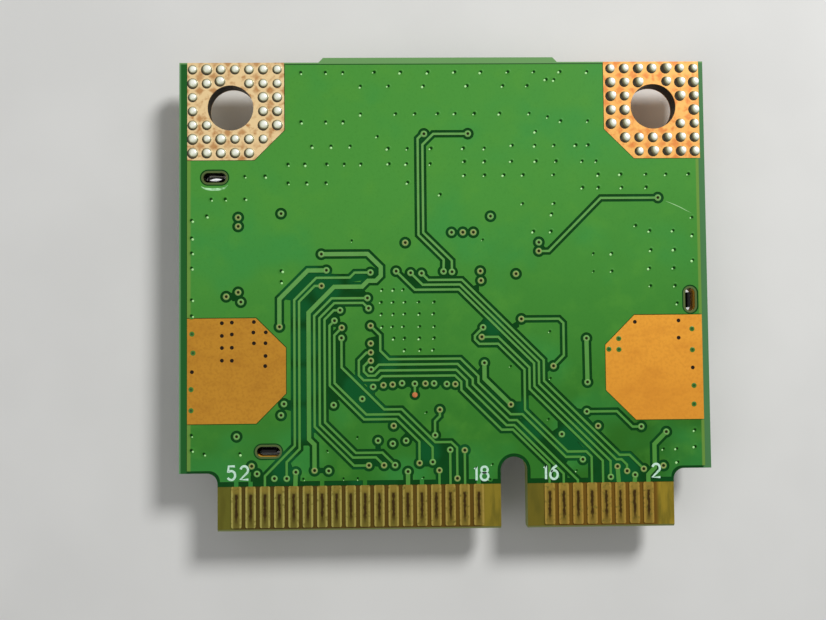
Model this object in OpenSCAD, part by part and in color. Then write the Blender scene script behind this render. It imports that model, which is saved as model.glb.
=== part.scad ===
// Half-size wireless network card for a laptop, lying on its shield can with the wiring side up.
// Units are millimetres. X runs along the contact edge, Y from the contacts towards the
// mounting holes and Z up. The origin is under the middle of the card, on the floor.

/* [Board] */
// Width of the board
board_width = 30; // [29.4:0.1:31]
// Depth from the contact edge to the end of the break-off stub
board_depth = 26.8; // [26.4:0.1:27.6]
// Thickness of the laminate
board_thickness = 1; // [0.8:0.05:1.2]
// How far the break-off stub stands out of the rear edge
stub_height = 0.27; // [0.1:0.01:0.4]
// Length of the break-off stub
stub_width = 13.7; // [10:0.1:16]
// Place of the middle of the stub
stub_x = -0.25; // [-1:0.05:1]
// Width of the contact tongue
tongue_width = 25.7; // [25.3:0.05:26]
// Length of the contact tongue
tongue_length = 3.25; // [3.1:0.05:3.4]
// Radius of the inside corners beside the tongue
tongue_fillet = 0.6; // [0.3:0.05:0.9]
// Width of the keying notch
key_width = 1.5; // [1.3:0.05:1.7]
// Depth of the keying notch
key_depth = 4; // [3.8:0.05:4.2]
// Place of the middle of the keying notch
key_x = 3.8; // [3.7:0.05:3.9]
// Bevel along the contact edge
edge_bevel = 0.12; // [0.05:0.01:0.2]

/* [Mounting] */
// Distance between the mounting holes
hole_spacing = 24.2; // [24:0.05:24.4]
// Diameter of the mounting holes
hole_diameter = 2.6; // [2.4:0.05:2.8]
// Distance from the rear edge to the middle of the holes
hole_inset = 2.6; // [2.5:0.05:2.7]
// Wall of the plating in the mounting holes
hole_plating = 0.05; // [0.03:0.01:0.1]
// Width of the bare pads round the holes
corner_pad_width = 5.5; // [5.2:0.05:5.6]
// Depth of the bare pads round the holes
corner_pad_depth = 5.6; // [5.4:0.05:5.8]
// Cut corner of the bare pads round the holes
corner_pad_cut = 1.7; // [1.2:0.05:1.8]
// Strip between the right-hand bare pad and the side of the board
corner_strip_right = 0.25; // [0.2:0.01:0.5]
// Distance between the solder bumps
bump_pitch = 0.8; // [0.76:0.01:0.82]
// Diameter of a solder bump
bump_diameter = 0.58; // [0.4:0.02:0.64]
// Height of a solder bump
bump_height = 0.14; // [0.08:0.01:0.2]
// Bumps along each side of the pad
bumps_per_side = 7; // [5:1:7]
// Distance from the outer side of the pad to the first bump
bump_side_inset = 0.3; // [0.3:0.01:0.45]
// Distance from the rear edge to the first bump
bump_rear_inset = 0.4; // [0.35:0.01:0.45]

/* [Contacts] */
// Distance between contacts
contact_pitch = 0.8; // [0.79:0.005:0.81]
// Width of a contact
contact_width = 0.58; // [0.5:0.01:0.64]
// Length of a contact
contact_length = 2.31; // [2.2:0.01:2.4]
// Bare laminate between the contacts and the edge
contact_setback = 0.19; // [0.1:0.01:0.25]
// Corner radius of a contact
contact_round = 0.1; // [0.05:0.01:0.15]
// Place of the first contact from the middle
first_contact_x = -11.8; // [-11.9:0.05:-11.7]

/* [Copper] */
// Thickness of the copper with the mask that covers it
copper_thickness = 0.05; // [0.03:0.005:0.08]
// Thickness of the mask between the copper
mask_thickness = 0.02; // [0.01:0.005:0.03]
// Width of a thin track
thin_track = 0.13; // [0.1:0.005:0.16]
// Width of a wide track
wide_track = 0.24; // [0.2:0.005:0.28]
// Gap between the ground copper and a track or via
clearance = 0.15; // [0.12:0.005:0.17]
// Radius of the ring round a via
via_ring = 0.19; // [0.16:0.005:0.22]
// Radius of the drilled hole of a via
via_hole = 0.08; // [0.05:0.005:0.1]
// Strip without copper along the left edge
left_strip = 0.45; // [0.3:0.01:0.5]
// Strip without copper along the right edge
right_strip = 0.35; // [0.25:0.01:0.5]
// Strip without copper along the rear edge and the ears
edge_strip = 0.14; // [0.1:0.01:0.3]
// Strip of mask between the ground copper and the contacts
contact_strip = 0.27; // [0.2:0.01:0.35]
// Width of the bare pads at the sides
side_pad_width = 5.55; // [5.3:0.05:5.7]
// Depth of the bare pads at the sides
side_pad_depth = 5.93; // [5.6:0.05:6.1]
// Cut corners of the bare pads at the sides
side_pad_cut = 1.68; // [1.3:0.02:1.8]
// Place of the middle of the side pads
side_pad_y = -4.43; // [-4.6:0.01:-4.3]
// Radius of the drilled holes in the bare pads at the sides
pad_via_hole = 0.11; // [0.08:0.005:0.13]
// Line of mask round a bare pad
pad_line = 0.04; // [0.03:0.01:0.1]

/* [Shield] */
// Height of the shield can over the board
shield_height = 1.9; // [1.7:0.05:2.2]
// Width of the shield between the middles of its walls
shield_width = 28; // [27.8:0.05:28.1]
// Depth of the shield between the middles of its walls
shield_depth = 15.5; // [15.3:0.05:15.6]
// Place of the middle of the shield
shield_y = -1.22; // [-1.3:0.01:-1.15]
// Thickness of the sheet
shield_sheet = 0.15; // [0.1:0.01:0.2]
// Corner radius of the wall
shield_round = 0.6; // [0.4:0.05:0.9]
// Width of the rim that carries the lid
rim_width = 0.7; // [0.4:0.05:1]
// Depth of the skirt of the lid
skirt_depth = 1.1; // [0.8:0.05:1.4]
// Running gap between the lid and the wall
lid_gap = 0.03; // [0.02:0.01:0.06]
// Length of the plated slots for the legs
leg_slot_length = 1.3; // [1.2:0.05:1.4]
// Width of the plated slots for the legs
leg_slot_width = 0.56; // [0.5:0.02:0.6]
// Width of the plated land round a slot
slot_land = 0.11; // [0.08:0.01:0.15]
// Wall of the plating in a slot
slot_plating_wall = 0.05; // [0.03:0.01:0.06]
// Width of a leg
leg_width = 0.85; // [0.7:0.05:1]
// How far a leg stops below the wiring face
leg_recess = 0.2; // [0.1:0.05:0.4]

/* [Antenna connectors] */
// Distance from the middle to each antenna connector
connector_x = 7.2; // [7:0.05:7.4]
// Distance from the rear edge to the middle of the connectors
connector_inset = 2; // [1.9:0.05:2.2]
// Side of the connector base
connector_base = 2.6; // [2.4:0.05:2.8]
// Height of the connector base
connector_base_height = 0.35; // [0.3:0.05:0.5]
// Outer diameter of the connector barrel
barrel_diameter = 2; // [1.9:0.05:2.2]
// Wall of the connector barrel
barrel_wall = 0.15; // [0.1:0.01:0.2]
// Height of the connector over the board
connector_height = 1.25; // [1.1:0.05:1.4]
// Diameter of the centre pin
centre_pin_diameter = 0.5; // [0.4:0.05:0.6]
// How far the centre pin stops below the end of the barrel
pin_recess = 0.25; // [0.15:0.05:0.4]
// Width and length of the soldered feet of the shell
connector_foot = [0.25, 1.8];
// Width of the straps from the barrel to the feet
strap_width = 0.8; // [0.6:0.1:1.2]
// Bare laminate round the connector base
connector_opening = 0.3; // [0.25:0.05:0.4]

/* [Chips] */
// Side of the radio chip
radio_side = 9; // [8.6:0.1:9.2]
// Height of the radio chip
radio_height = 0.85; // [0.7:0.05:1]
// Thickness of the solder under the chips
solder_gap = 0.04; // [0.02:0.01:0.06]
// Side of the front-end chips
front_end_side = 3; // [2.6:0.1:3.2]
// Height of the small chips
small_chip_height = 0.75; // [0.6:0.05:0.9]
// Side of the power inductor
inductor_side = 3; // [2.6:0.1:3.2]
// Height of the power inductor
inductor_height = 1.2; // [1:0.05:1.4]
// Length of a chip capacitor or resistor
passive_length = 1; // [0.9:0.05:1.1]
// Width of a chip capacitor or resistor
passive_width = 0.5; // [0.4:0.05:0.6]
// How far the end caps stand out from the body of a capacitor or resistor
cap_step = 0.02; // [0.01:0.01:0.03]
// Length of a solder land under a chip
land_length = 0.5; // [0.3:0.05:0.6]
// How far the lands reach past the side of a chip
land_reach = 0.05; // [0:0.05:0.2]
// Lands along each side of the radio chip
radio_lands = 16; // [12:1:17]
// Distance between the lands of the chips
land_pitch = 0.5; // [0.4:0.05:0.5]
// Size of the regulator
regulator_size = [1.7, 3, 1];
// Size of the memory chip
memory_size = [3, 3, 1];
// Height of the leaded chips over the board
lead_standoff = 0.1; // [0.05:0.05:0.2]
// Thickness of a bent lead
lead_thickness = 0.12; // [0.1:0.01:0.15]
// How far a bent lead reaches out
lead_reach = 0.75; // [0.6:0.05:0.9]
// Size of the crystal
crystal_size = [3.2, 2.5, 0.55];
// Size of the metal lid on the crystal
crystal_lid_size = [2.8, 2.1, 0.15];

/* [Hidden] */
$fn = 32;

component_z = shield_height;
seat_z = component_z - mask_thickness;
wiring_z = component_z + board_thickness;
rear_y = board_depth / 2 - stub_height;
front_y = -board_depth / 2;
ear_y = front_y + tongue_length;
hole_y = rear_y - hole_inset;
contact_top_y = front_y + contact_setback + contact_length;
copper_bottom_y = contact_top_y + contact_strip;
side_x = board_width / 2;
key_top_y = front_y + key_depth;
key_jump = 4;
fine = 0.01;
ring_cut = via_ring + clearance;

// Legs: place and whether the slot runs along X
leg_places = [
    [-13, shield_y + shield_depth / 2, true],
    [shield_width / 2, -0.6, false],
    [-10, shield_y - shield_depth / 2, true]];

// X of a contact on the wiring side, by its even pin number
function pin_x(pin) = first_contact_x + (52 - pin) / 2 * contact_pitch
    + (pin <= 16 ? key_jump - contact_pitch : 0);

// Tracks of the wiring side: width, 2 vias or 1, and the points of the middle line
thin = thin_track;
wide = wide_track;
track_list = [
    [wide, 2, [[-6.98, 2.13], [-4.37, 2.13], [-3.62, 1.38], [-3.62, 0.88], [-3.9, 0.6],
        [-4.35, 0.6], [-4.68, 0.27], [-6.27, 0.27], [-7.72, -1.18], [-7.72, -8.3],
        [-7.42, -8.6], [-7.42, -10.05]]],
    [wide, 2, [[-6.7, 1.21], [-7.75, 1.21], [-9.36, -0.4], [-9.36, -1.97]]],
    [thin, 1, [[-4.21, 1.07], [-5.1, 1.07], [-5.38, 0.79], [-7.27, 0.79], [-8.52, -0.46],
        [-8.52, -8.65], [pin_x(48), -10.33], [pin_x(48), contact_top_y]]],
    [thin, 2, [[-6.98, 0.33], [-7.37, 0.33], [-8.25, -0.55], [-8.25, -8.83], [-8.98, -9.56],
        [-8.98, -10.48]]],
    [thin, 2, [[-4.39, -0.38], [-6.41, -0.38], [-7.4, -1.37], [-7.4, -7.6], [-5.2, -9.8],
        [-4.37, -9.8]]],
    [thin, 2, [[-4.33, -0.96], [-4.64, -0.65], [-6.26, -0.65], [-7.11, -1.5], [-7.11, -7.5],
        [-5.26, -9.35], [-3.97, -9.35], [-3.52, -9.8]]],
    [thin, 2, [[-5.94, -1.06], [-6.3, -1.06], [-6.82, -1.58], [-6.82, -7.37], [-5.1, -9.09],
        [-3.61, -9.09], [-2.9, -9.8]]],
    [thin, 2, [[-6.26, -1.65], [-6.54, -1.93], [-6.54, -5.3], [-4.62, -7.22], [-2.8, -7.22],
        [-1.52, -8.5], [-1.52, -9.7]]],
    [thin, 2, [[-5.85, -2.05], [-6.27, -2.47], [-6.27, -5.17], [-4.49, -6.95], [-2.65, -6.95],
        [-0.78, -8.82], [-0.78, -9.65]]],
    [thin, 2, [[-5.87, -2.63], [-5.87, -4.29], [-3.49, -6.67], [-2.5, -6.67], [-0.63, -8.54],
        [0.28, -8.54], [0.6, -8.86], [0.6, -10.58]]],
    [thin, 2, [[-4.22, -1.95], [-3.68, -2.49], [-3.68, -3.37], [-3.2, -3.85], [0.85, -3.85],
        [1.85, -4.85], [1.85, -5.21], [3.66, -7.02], [4.32, -7.02], [6.75, -9.45],
        [7.55, -9.45], [7.7, -9.6]]],
    [thin, 1, [[-4.21, -4.42], [-4.04, -4.42], [-3.77, -4.15], [0.68, -4.15], [1.53, -5],
        [1.53, -5.32], [3.56, -7.35], [4, -7.35], [pin_x(12), -10.75],
        [pin_x(12), contact_top_y]]],
    [thin, 1, [[-4.22, -3.93], [-4.32, -3.93], [-4.62, -4.23], [-4.62, -4.53], [-4.38, -4.77],
        [-4, -4.77], [-3.71, -4.48], [0.6, -4.48], [1.2, -5.08], [1.2, -5.42],
        [3.41, -7.63], [3.85, -7.63], [pin_x(14), -10.38], [pin_x(14), contact_top_y]]],
    [thin, 1, [[-4.22, -3.46], [-4.46, -3.46], [-4.9, -3.9], [-4.9, -4.75], [-4.63, -5.02],
        [-3.8, -5.02], [-3.58, -4.8], [0.53, -4.8], [0.88, -5.15], [0.88, -5.62],
        [3.14, -7.88], [3.77, -7.88], [pin_x(16), -9.91], [pin_x(16), contact_top_y]]],
    [thin, 2, [[-2.75, 1.13], [-1.69, 0.07], [0.8, 0.07], [5.02, -4.15], [5.02, -5.45],
        [9.27, -9.7], [9.27, -10.6]]],
    [thin, 2, [[-1.93, 1.03], [-1.25, 0.35], [0.87, 0.35], [5.29, -4.07], [5.29, -5.3],
        [9.61, -9.62], [9.9, -9.62], [10.2, -9.92], [10.2, -10.28]]],
    [thin, 2, [[-1.31, 1], [-0.93, 0.62], [0.98, 0.62], [5.57, -3.97], [5.57, -5.15],
        [9.79, -9.37], [10.35, -9.37], [11.15, -10.17]]],
    [thin, 1, [[2.07, -2.64], [3, -2.64], [4.75, -4.39], [4.75, -5.6], [8.83, -9.68],
        [8.83, contact_top_y]]],
    [thin, 1, [[2.15, -2.1], [1.68, -2.57], [1.68, -2.78], [1.93, -3.03], [3, -3.03],
        [4.47, -4.5], [4.47, -6.77], [6.85, -9.15], [7.9, -9.15], [pin_x(10), -9.45],
        [pin_x(10), contact_top_y]]],
    [thin, 2, [[7.97, -6.91], [9.68, -6.91], [10.56, -7.79], [11.05, -7.79]]],
    [thin, 2, [[4.33, -1.64], [6.47, -1.64], [6.72, -1.89], [6.72, -3.72], [6.12, -4.32]]],
    [wide, 2, [[8.02, -2.77], [8.04, -5.25]]],
    [wide, 2, [[2.2, -4.11], [2.2, -5], [3.67, -6.47]]],
    [thin, 2, [[5.38, 2.22], [5.95, 2.22], [8.97, 5.24], [12.26, 5.24]]],
    [thin, 2, [[-1.1, 8.98], [-1.19, 8.98], [-1.46, 8.71], [-1.46, 3.19], [-0.04, 1.77],
        [-0.06, 1.1]]],
    [thin, 2, [[1.41, 8.98], [-0.57, 8.98], [-1.19, 8.36], [-1.19, 3.32], [0.42, 1.71],
        [0.42, 1.07]]],
    [thin, 2, [[-0.35, -6.72], [-0.35, -7.08], [-0.63, -7.36], [-0.63, -8.15]]],
    [wide, 1, [[12.47, -8.1], [11.78, -8.79], [11.78, -10.1], [pin_x(2), -10.5],
        [pin_x(2), contact_top_y]]],
    [thin, 1, [[0.21, -8.98], [0.21, contact_top_y]]],
    [thin, 1, [[1.03, -9.01], [1.03, contact_top_y]]],
    [thin, 1, [[-0.41, -10.12], [-0.41, contact_top_y]]],
    [wide, 1, [[-2.18, -10.17], [-2.18, contact_top_y]]],
    [wide, 1, [[-8.47, -10.13], [-8.5, contact_top_y]]],
    [wide, 1, [[9.66, -10.02], [9.72, contact_top_y]]],
    [wide, 1, [[10.65, -10.5], [10.62, contact_top_y]]],
    [thin, 1, [[-1.75, -5.25], [-1.75, -5.87]]]];

// Vias of the wiring side that no track reaches
lone_vias = [[-11.67, 4.25], [-11.67, 3.74], [-9.25, 4.45], [-11.68, 0], [-12.35, -0.24],
    [-11.53, -0.55], [-9.12, -6.31], [-9.29, -6.94], [-11.78, -8.11], [-10.94, -9.77],
    [-10.64, -10.2], [-9.67, -10.47], [-6.63, -10.08], [-3.85, -8.42], [-3.02, -8.6],
    [-2.27, -8.44], [-2.96, -7.6], [8.6, -7.73], [6.53, -8.17], [12.27, -10], [2.65, 4.23],
    [0.42, 3.32], [1.06, 3.32], [1.66, 3.32], [-2.22, 2.75], [2.03, 1.1], [2.06, 0.56],
    [4.06, 0.93], [5.39, 2.72], [-4.72, -6.07], [-6.33, -6.4], [-4.22, -2.95], [-4.1, -5.4],
    [-3.52, -5.31], [-3, -5.28], [-2.47, -5.21], [-1.15, -5.24], [-0.66, -5.24],
    [0.06, -5.28], [0.54, -5.29]];

test_pad_place = [-1.75, -5.87];
test_pad_radius = 0.15;

track_vias = [for (t = track_list) each [t[2][0], if (t[1] == 2) t[2][len(t[2]) - 1]]];
all_vias = concat(track_vias, lone_vias);

// Places between tracks that the ground copper doesn't reach
bare_areas = [
    [[-8, 1.05], [-6.7, 1.05], [-5.6, 0.95], [-5.4, 0.8], [-7.3, 0.8], [-8.6, -0.5], [-9.2, -0.4]],
    [[-7.3, 0.7], [-5.1, 0.95], [-4.2, 1], [-3.85, 1.45], [-3.7, 0.9], [-4.1, 0.7], [-6.2, 0.4],
        [-7.7, -1.1], [-7.7, -8.65], [-8.2, -8.65], [-8.2, -0.5]],
    [[-6.3, 0.2], [-4.6, 0.1], [-4.2, -0.3], [-6.4, -0.4]],
    [[-6.8, -1.5], [-6, -1.1], [-5.9, -2], [-6.5, -2]],
    [[-6.2, -4.2], [-5.8, -4.2], [-3.5, -6.6], [-3.5, -6.9], [-4.5, -6.9], [-6.2, -5.1]],
    [[-6.8, -5.2], [-6.5, -5.3], [-5.9, -6], [-6.35, -6.3], [-6.8, -6.65]],
    [[-4.2, -2.6], [-3.7, -2.5], [-3.6, -3.4], [-3.2, -3.9], [-4.2, -4.1]],
    [[-5.15, -4.5], [-4.9, -3.8], [-4.8, -5], [0.8, -4.9], [0.9, -5.5], [0.6, -5.5],
        [-0.3, -5.35], [-4, -5.5], [-4, -5.85]],
    [[1.95, -1.85], [2.2, -1.55], [3.3, -2.6], [2.2, -2.6]],
    [[1.5, 0.2], [1.95, 0.4], [1.95, 0], [1.8, -0.1]],
    [[3.75, -1.95], [4.2, -1.7], [4.2, -2.1], [4, -2.2]],
    [[3.7, -6.3], [4.4, -6.3], [4.5, -7], [3.7, -6.9]],
    [[4.5, -5.5], [4.8, -5.6], [4.95, -5.95], [4.5, -6]],
    [[6.3, -7.3], [6.3, -7.8], [6, -8], [6.9, -9.1], [8.1, -9.1], [8.8, -9.8],
        [8.8, contact_top_y + 0.1], [8.25, contact_top_y + 0.1], [8.15, -9.4]],
    [[4.2, -7.3], [4.4, -7.1], [6.9, -9.6], [6.7, -9.9]],
    [[-11, -10.3], [-10, -10.1], [-8.9, -9.2], [-8.6, -10], [-8.7, copper_bottom_y],
        [-11, copper_bottom_y]],
    [[-1.5, -8.4], [-0.8, -8.8], [-0.8, -9.9], [-1.5, -9.9]],
    [[-0.7, -8.6], [0.3, -8.6], [1, -9.2], [1, copper_bottom_y], [-0.5, copper_bottom_y],
        [-0.6, -9.8]],
    [[8.8, -9.6], [9.3, -9.6], [9.9, -9.5], [10.4, -9.4], [11.2, -10.2],
        [11.2, copper_bottom_y], [8.8, copper_bottom_y]],
    [[-5.2, -9.4], [-3.6, -9.1], [-3, -9.7], [-3.6, -9.9], [-5.1, -9.75]],
    [[-2.5, -8.2], [-2.2, -7.9], [-1.7, -8.4], [-2.1, -8.5]],
    [[-4, -8.6], [-3.7, -8.6], [-3.7, -9], [-4, -9]],
    [[-7.4, -9.9], [-6.7, -9.9], [-6.7, -10.2], [-7.4, -10.2]],
    [[-7.6, -7.5], [-7.4, -7.5], [-7.1, -7.85], [-7.6, -8]],
    [[-9, -6.1], [-8.6, -6.1], [-8.6, -6.75], [-9.1, -6.6]],
    [[5.6, -4], [6, -4.2], [6, -4.5], [5.6, -4.8]],
    [[7.3, -6.7], [7.9, -6.8], [8, -7.2], [8.35, -7.6], [8.2, -7.8]],
    [[5.3, 2.6], [5.6, 2.7], [5.75, 2.4], [5.6, 2.2], [5.3, 2.3]],
    [[0, 1.8], [0.4, 1.7], [0.4, 1], [0, 1]],
    [[-2.6, 1], [-1.9, 1], [-1.2, 0.3], [-1.7, 0.1]],
    [[-12.3, -0.1], [-11.8, 0.05], [-11.6, -0.5], [-12, -0.5]],
    [[2.1, -4.3], [1.9, -4.8], [1.75, -4.6], [1.9, -4.4]]];

// Contacts that the ground copper reaches straight
ground_pins = [52, 50, 40, 34, 26, 18];

left_side_vias = [[-12.6, -1.73], [-12.04, -1.7], [-10.8, -1.68], [-12.6, -2.45],
    [-12.04, -2.37], [-10.83, -2.27], [-10.13, -2.27], [-10.8, -2.88], [-10.15, -2.88],
    [-12.6, -3.13], [-12.04, -3.12], [-12.6, -3.84], [-12.04, -3.85], [-10.15, -3.6],
    [-10.17, -4.17], [-14.28, -4.47]];
right_side_vias = [[10.81, -1.86], [13.31, -1.8], [13.3, -2.78], [14.07, -4.48]];

radio_place = [-2.1, -1.75];
front_end_main_place = [3.8, 3.9];
front_end_aux_place = [9.03, 1.55];
regulator_place = [-11.4, -2.8];
memory_place = [10.9, -5.6];
crystal_place = [-8.6, 3.6];
inductor_place = [-11.4, -6.4];
capacitor_places = concat(
    [for (k = [0:5]) [4.3, -6.2 + 1.25 * k, 90]],
    [for (k = [0:5]) [-7.9, -6.6 + 1.25 * k, 90]],
    [for (k = [0:4]) [-4.8 + 1.4 * k, 3.9, 0]],
    [for (k = [0:3]) [6.4, -0.6 + 1.3 * k, 90]],
    [for (k = [0:2]) [12.2, 0.4 + 1.3 * k, 90]]);
resistor_places = concat(
    [for (k = [0:4]) [-4.8 + 1.4 * k, -7.7, 0]],
    [for (k = [0:3]) [6.4, -6.8 + 1.3 * k, 90]],
    [for (k = [0:2]) [-11.6 + 1.5 * k, 5.4, 0]]);

// Shared plane shapes
module oblong(long, wide_side, turn) {
    rotate(turn) {
        square([long - wide_side, wide_side], center = true);
        for (side = [-1, 1])
            translate([side * (long - wide_side) / 2, 0]) circle(d = wide_side);
    }
}

module body_outline(inset_left, inset_right, inset) {
    translate([-side_x + inset_left, ear_y + inset])
        square([board_width - inset_left - inset_right, rear_y - ear_y - 2 * inset]);
}

module stub_outline() {
    low = rear_y - fine;
    half = stub_width / 2;
    translate([stub_x, 0])
        polygon([[-half, low], [half, low], [half - stub_height, rear_y + stub_height],
            [stub_height - half, rear_y + stub_height]]);
}

module tongue_outline(inset, low_y) {
    translate([-tongue_width / 2 + inset, low_y])
        square([tongue_width - 2 * inset, ear_y + inset + fine - low_y]);
}

module tongue_corners(inset) {
    r = tongue_fillet;
    for (side = [-1, 1])
        difference() {
            translate([side * (tongue_width / 2 + (r - fine) / 2 - inset), ear_y + inset - (r - fine) / 2])
                square(r + fine, center = true);
            translate([side * (tongue_width / 2 - inset + r), ear_y + inset - r]) circle(r);
        }
}

module key_outline(grow) {
    r = key_width / 2 + grow;
    translate([key_x - r, front_y - 1])
        square([2 * r, key_top_y + grow - r - front_y + 1]);
    translate([key_x, key_top_y + grow - r]) circle(r);
}

module hole_outlines(grow = 0) {
    for (side = [-1, 1])
        translate([side * hole_spacing / 2, hole_y]) circle(d = hole_diameter + 2 * grow, $fn = 64);
}

module slot_outlines(grow) {
    for (leg = leg_places)
        translate([leg[0], leg[1]])
            oblong(leg_slot_length + 2 * grow, leg_slot_width + 2 * grow, leg[2] ? 0 : 90);
}

function corner_pad_side(side) = side_x - (side < 0 ? left_strip : corner_strip_right);

module corner_pad_outline(side, grow) {
    w = corner_pad_width;
    d = corner_pad_depth;
    c = corner_pad_cut;
    x0 = corner_pad_side(side);
    mirror([side < 0 ? 1 : 0, 0])
        polygon([[x0 + grow, rear_y], [x0 - w - grow, rear_y], [x0 - w - grow, rear_y - d + c - grow / 2],
            [x0 - w + c - grow / 2, rear_y - d - grow], [x0 + grow, rear_y - d - grow]]);
}

module side_pad_outline(side, grow) {
    w = side_pad_width;
    h = side_pad_depth / 2;
    c = side_pad_cut;
    x0 = side_x - (side < 0 ? left_strip : right_strip);
    translate([0, side_pad_y])
        mirror([side < 0 ? 1 : 0, 0])
            polygon([[x0, h + grow], [x0 - w + c - grow / 2, h + grow],
                [x0 - w - grow, h - c + grow / 2], [x0 - w - grow, c - h - grow / 2],
                [x0 - w + c - grow / 2, -h - grow], [x0, -h - grow]]);
}

// Board
module board_outline() {
    difference() {
        union() {
            body_outline(0, 0, 0);
            stub_outline();
            tongue_outline(0, front_y);
            tongue_corners(0);
        }
        key_outline(0);
        hole_outlines(hole_plating);
    }
}

module board() {
    color("darkolivegreen")
        difference() {
            translate([0, 0, component_z])
                linear_extrude(board_thickness)
                    difference() {
                        board_outline();
                        slot_outlines(slot_plating_wall);
                    }
            for (z = [component_z, wiring_z])
                translate([0, front_y, z])
                    rotate([45, 0, 0])
                        cube([board_width, edge_bevel * sqrt(2), edge_bevel * sqrt(2)], center = true);
        }
}

// Wiring side
function unit(v) = v / norm(v);
function left_of(v) = [-v[1], v[0]];

// Where the edge of a track turns at a bend, on its left
function edge_point(points, k, half) =
    let (last = len(points) - 1,
        before = unit(points[k == 0 ? 1 : k] - points[k == 0 ? 0 : k - 1]),
        after = unit(points[k == last ? last : k + 1] - points[k == last ? last - 1 : k]),
        middle = unit(before + after))
    points[k] + left_of(middle) * half / (middle * before);

module track(points, width) {
    n = len(points);
    polygon(concat(
        [for (k = [0:n - 1]) edge_point(points, k, width / 2)],
        [for (k = [n - 1:-1:0]) edge_point(points, k, -width / 2)]));
}

module via_discs(radius) {
    for (v = all_vias)
        translate(v) circle(radius, $fn = 16);
}

module ground_outline() {
    body_outline(left_strip, right_strip, edge_strip);
    tongue_outline(edge_strip, copper_bottom_y);
    tongue_corners(edge_strip);
}

module ground_shape() {
    difference() {
        ground_outline();
        for (t = track_list)
            track(t[2], t[0] + 2 * clearance);
        for (v = all_vias)
            translate(v) circle(ring_cut, $fn = 16);
        for (area = bare_areas)
            polygon(area);
        translate(test_pad_place) circle(test_pad_radius + clearance);
        key_outline(edge_strip + pad_line);
        slot_outlines(slot_land + clearance / 2);
        for (side = [-1, 1]) {
            corner_pad_outline(side, pad_line);
            side_pad_outline(side, pad_line);
        }
    }
}

module back_ground_copper() {
    color("forestgreen")
        translate([0, 0, wiring_z])
            linear_extrude(copper_thickness) ground_shape();
    color("forestgreen")
        for (pin = ground_pins)
            translate([pin_x(pin) - wide / 2, contact_top_y, wiring_z])
                cube([wide, contact_strip, copper_thickness]);
}

module back_tracks() {
    color("mediumseagreen")
        translate([0, 0, wiring_z])
            linear_extrude(copper_thickness)
                difference() {
                    for (t = track_list)
                        track(t[2], t[0]);
                    via_discs(via_ring);
                    translate(test_pad_place) circle(test_pad_radius);
                }
}

module back_via_rings() {
    color("tan")
        for (v = all_vias)
            translate([v[0], v[1], wiring_z])
                difference() {
                    cylinder(r = via_ring, h = copper_thickness, $fn = 16);
                    translate([0, 0, copper_thickness / 2])
                        cylinder(r = via_hole, h = copper_thickness, $fn = 16);
                }
}

module test_pad() {
    color("darkorange")
        translate([test_pad_place[0], test_pad_place[1], wiring_z])
            cylinder(r = test_pad_radius, h = copper_thickness);
}

// Mask that fills the gaps between the copper
module back_mask() {
    color("darkgreen")
        translate([0, 0, wiring_z])
            linear_extrude(mask_thickness)
                difference() {
                    mask_outline();
                    ground_shape();
                    for (pin = ground_pins)
                        translate([pin_x(pin) - wide / 2, contact_top_y])
                            square([wide, contact_strip]);
                    for (t = track_list)
                        track(t[2], t[0]);
                    via_discs(via_ring);
                    translate(test_pad_place) circle(test_pad_radius);
                    slot_outlines(slot_land);
                    for (side = [-1, 1]) {
                        corner_pad_outline(side, 0);
                        side_pad_outline(side, 0);
                    }
                }
}

module mask_outline() {
    difference() {
        board_outline();
        translate([-side_x, front_y - 1]) square([board_width, contact_top_y - front_y + 1]);
    }
}

// Bare pads, bumps and contacts
module contact_shape() {
    w = contact_width;
    r = contact_round;
    translate([-w / 2, r - contact_length]) square([w, contact_length - 2 * r]);
    translate([r - w / 2, -contact_length]) square([w - 2 * r, contact_length]);
    for (side = [-1, 1], y = [-r, r - contact_length])
        translate([side * (w / 2 - r), y]) circle(r);
}

module contact_row(first_pin, z) {
    for (pin = [first_pin:2:52])
        translate([pin_x(2 * ceil(pin / 2)) + (pin % 2 == 1 ? contact_pitch / 2 : 0), contact_top_y, z])
            linear_extrude(copper_thickness) contact_shape();
}

module back_contacts() {
    color("gold") contact_row(2, wiring_z);
}

module front_contacts() {
    color("gold") contact_row(1, component_z - copper_thickness);
}

// A pad of the wiring side carries the plating of its hole, which ends level with the front pad
module back_corner_pad(side) {
    hole_side = [side * hole_spacing / 2, hole_y];
    foot = component_z - mask_thickness;
    color("goldenrod")
        difference() {
            union() {
                translate([0, 0, wiring_z]) linear_extrude(mask_thickness) corner_pad_outline(side, 0);
                translate([hole_side[0], hole_side[1], foot])
                    cylinder(d = hole_diameter + 2 * hole_plating, h = wiring_z - foot + fine, $fn = 64);
            }
            translate([hole_side[0], hole_side[1], foot - 1])
                cylinder(d = hole_diameter, h = board_thickness + 2, $fn = 64);
        }
}

module front_corner_pad(side) {
    color("goldenrod")
        translate([0, 0, component_z - mask_thickness])
            linear_extrude(mask_thickness)
                difference() {
                    corner_pad_outline(side, 0);
                    hole_outlines(hole_plating);
                }
}

module back_corner_pad_left() { back_corner_pad(-1); }
module back_corner_pad_right() { back_corner_pad(1); }
module front_corner_pad_left() { front_corner_pad(-1); }
module front_corner_pad_right() { front_corner_pad(1); }

// How far a place is from the mounting hole on its side, both taken as on the right
function from_hole(v) = norm(v - [hole_spacing / 2, hole_y]);

// A bump that just reaches over the rear of the hole stands at its edge instead
function off_hole(v, near) =
    from_hole(v) < near ? [hole_spacing / 2, hole_y] + unit(v - [hole_spacing / 2, hole_y]) * near : v;

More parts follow.
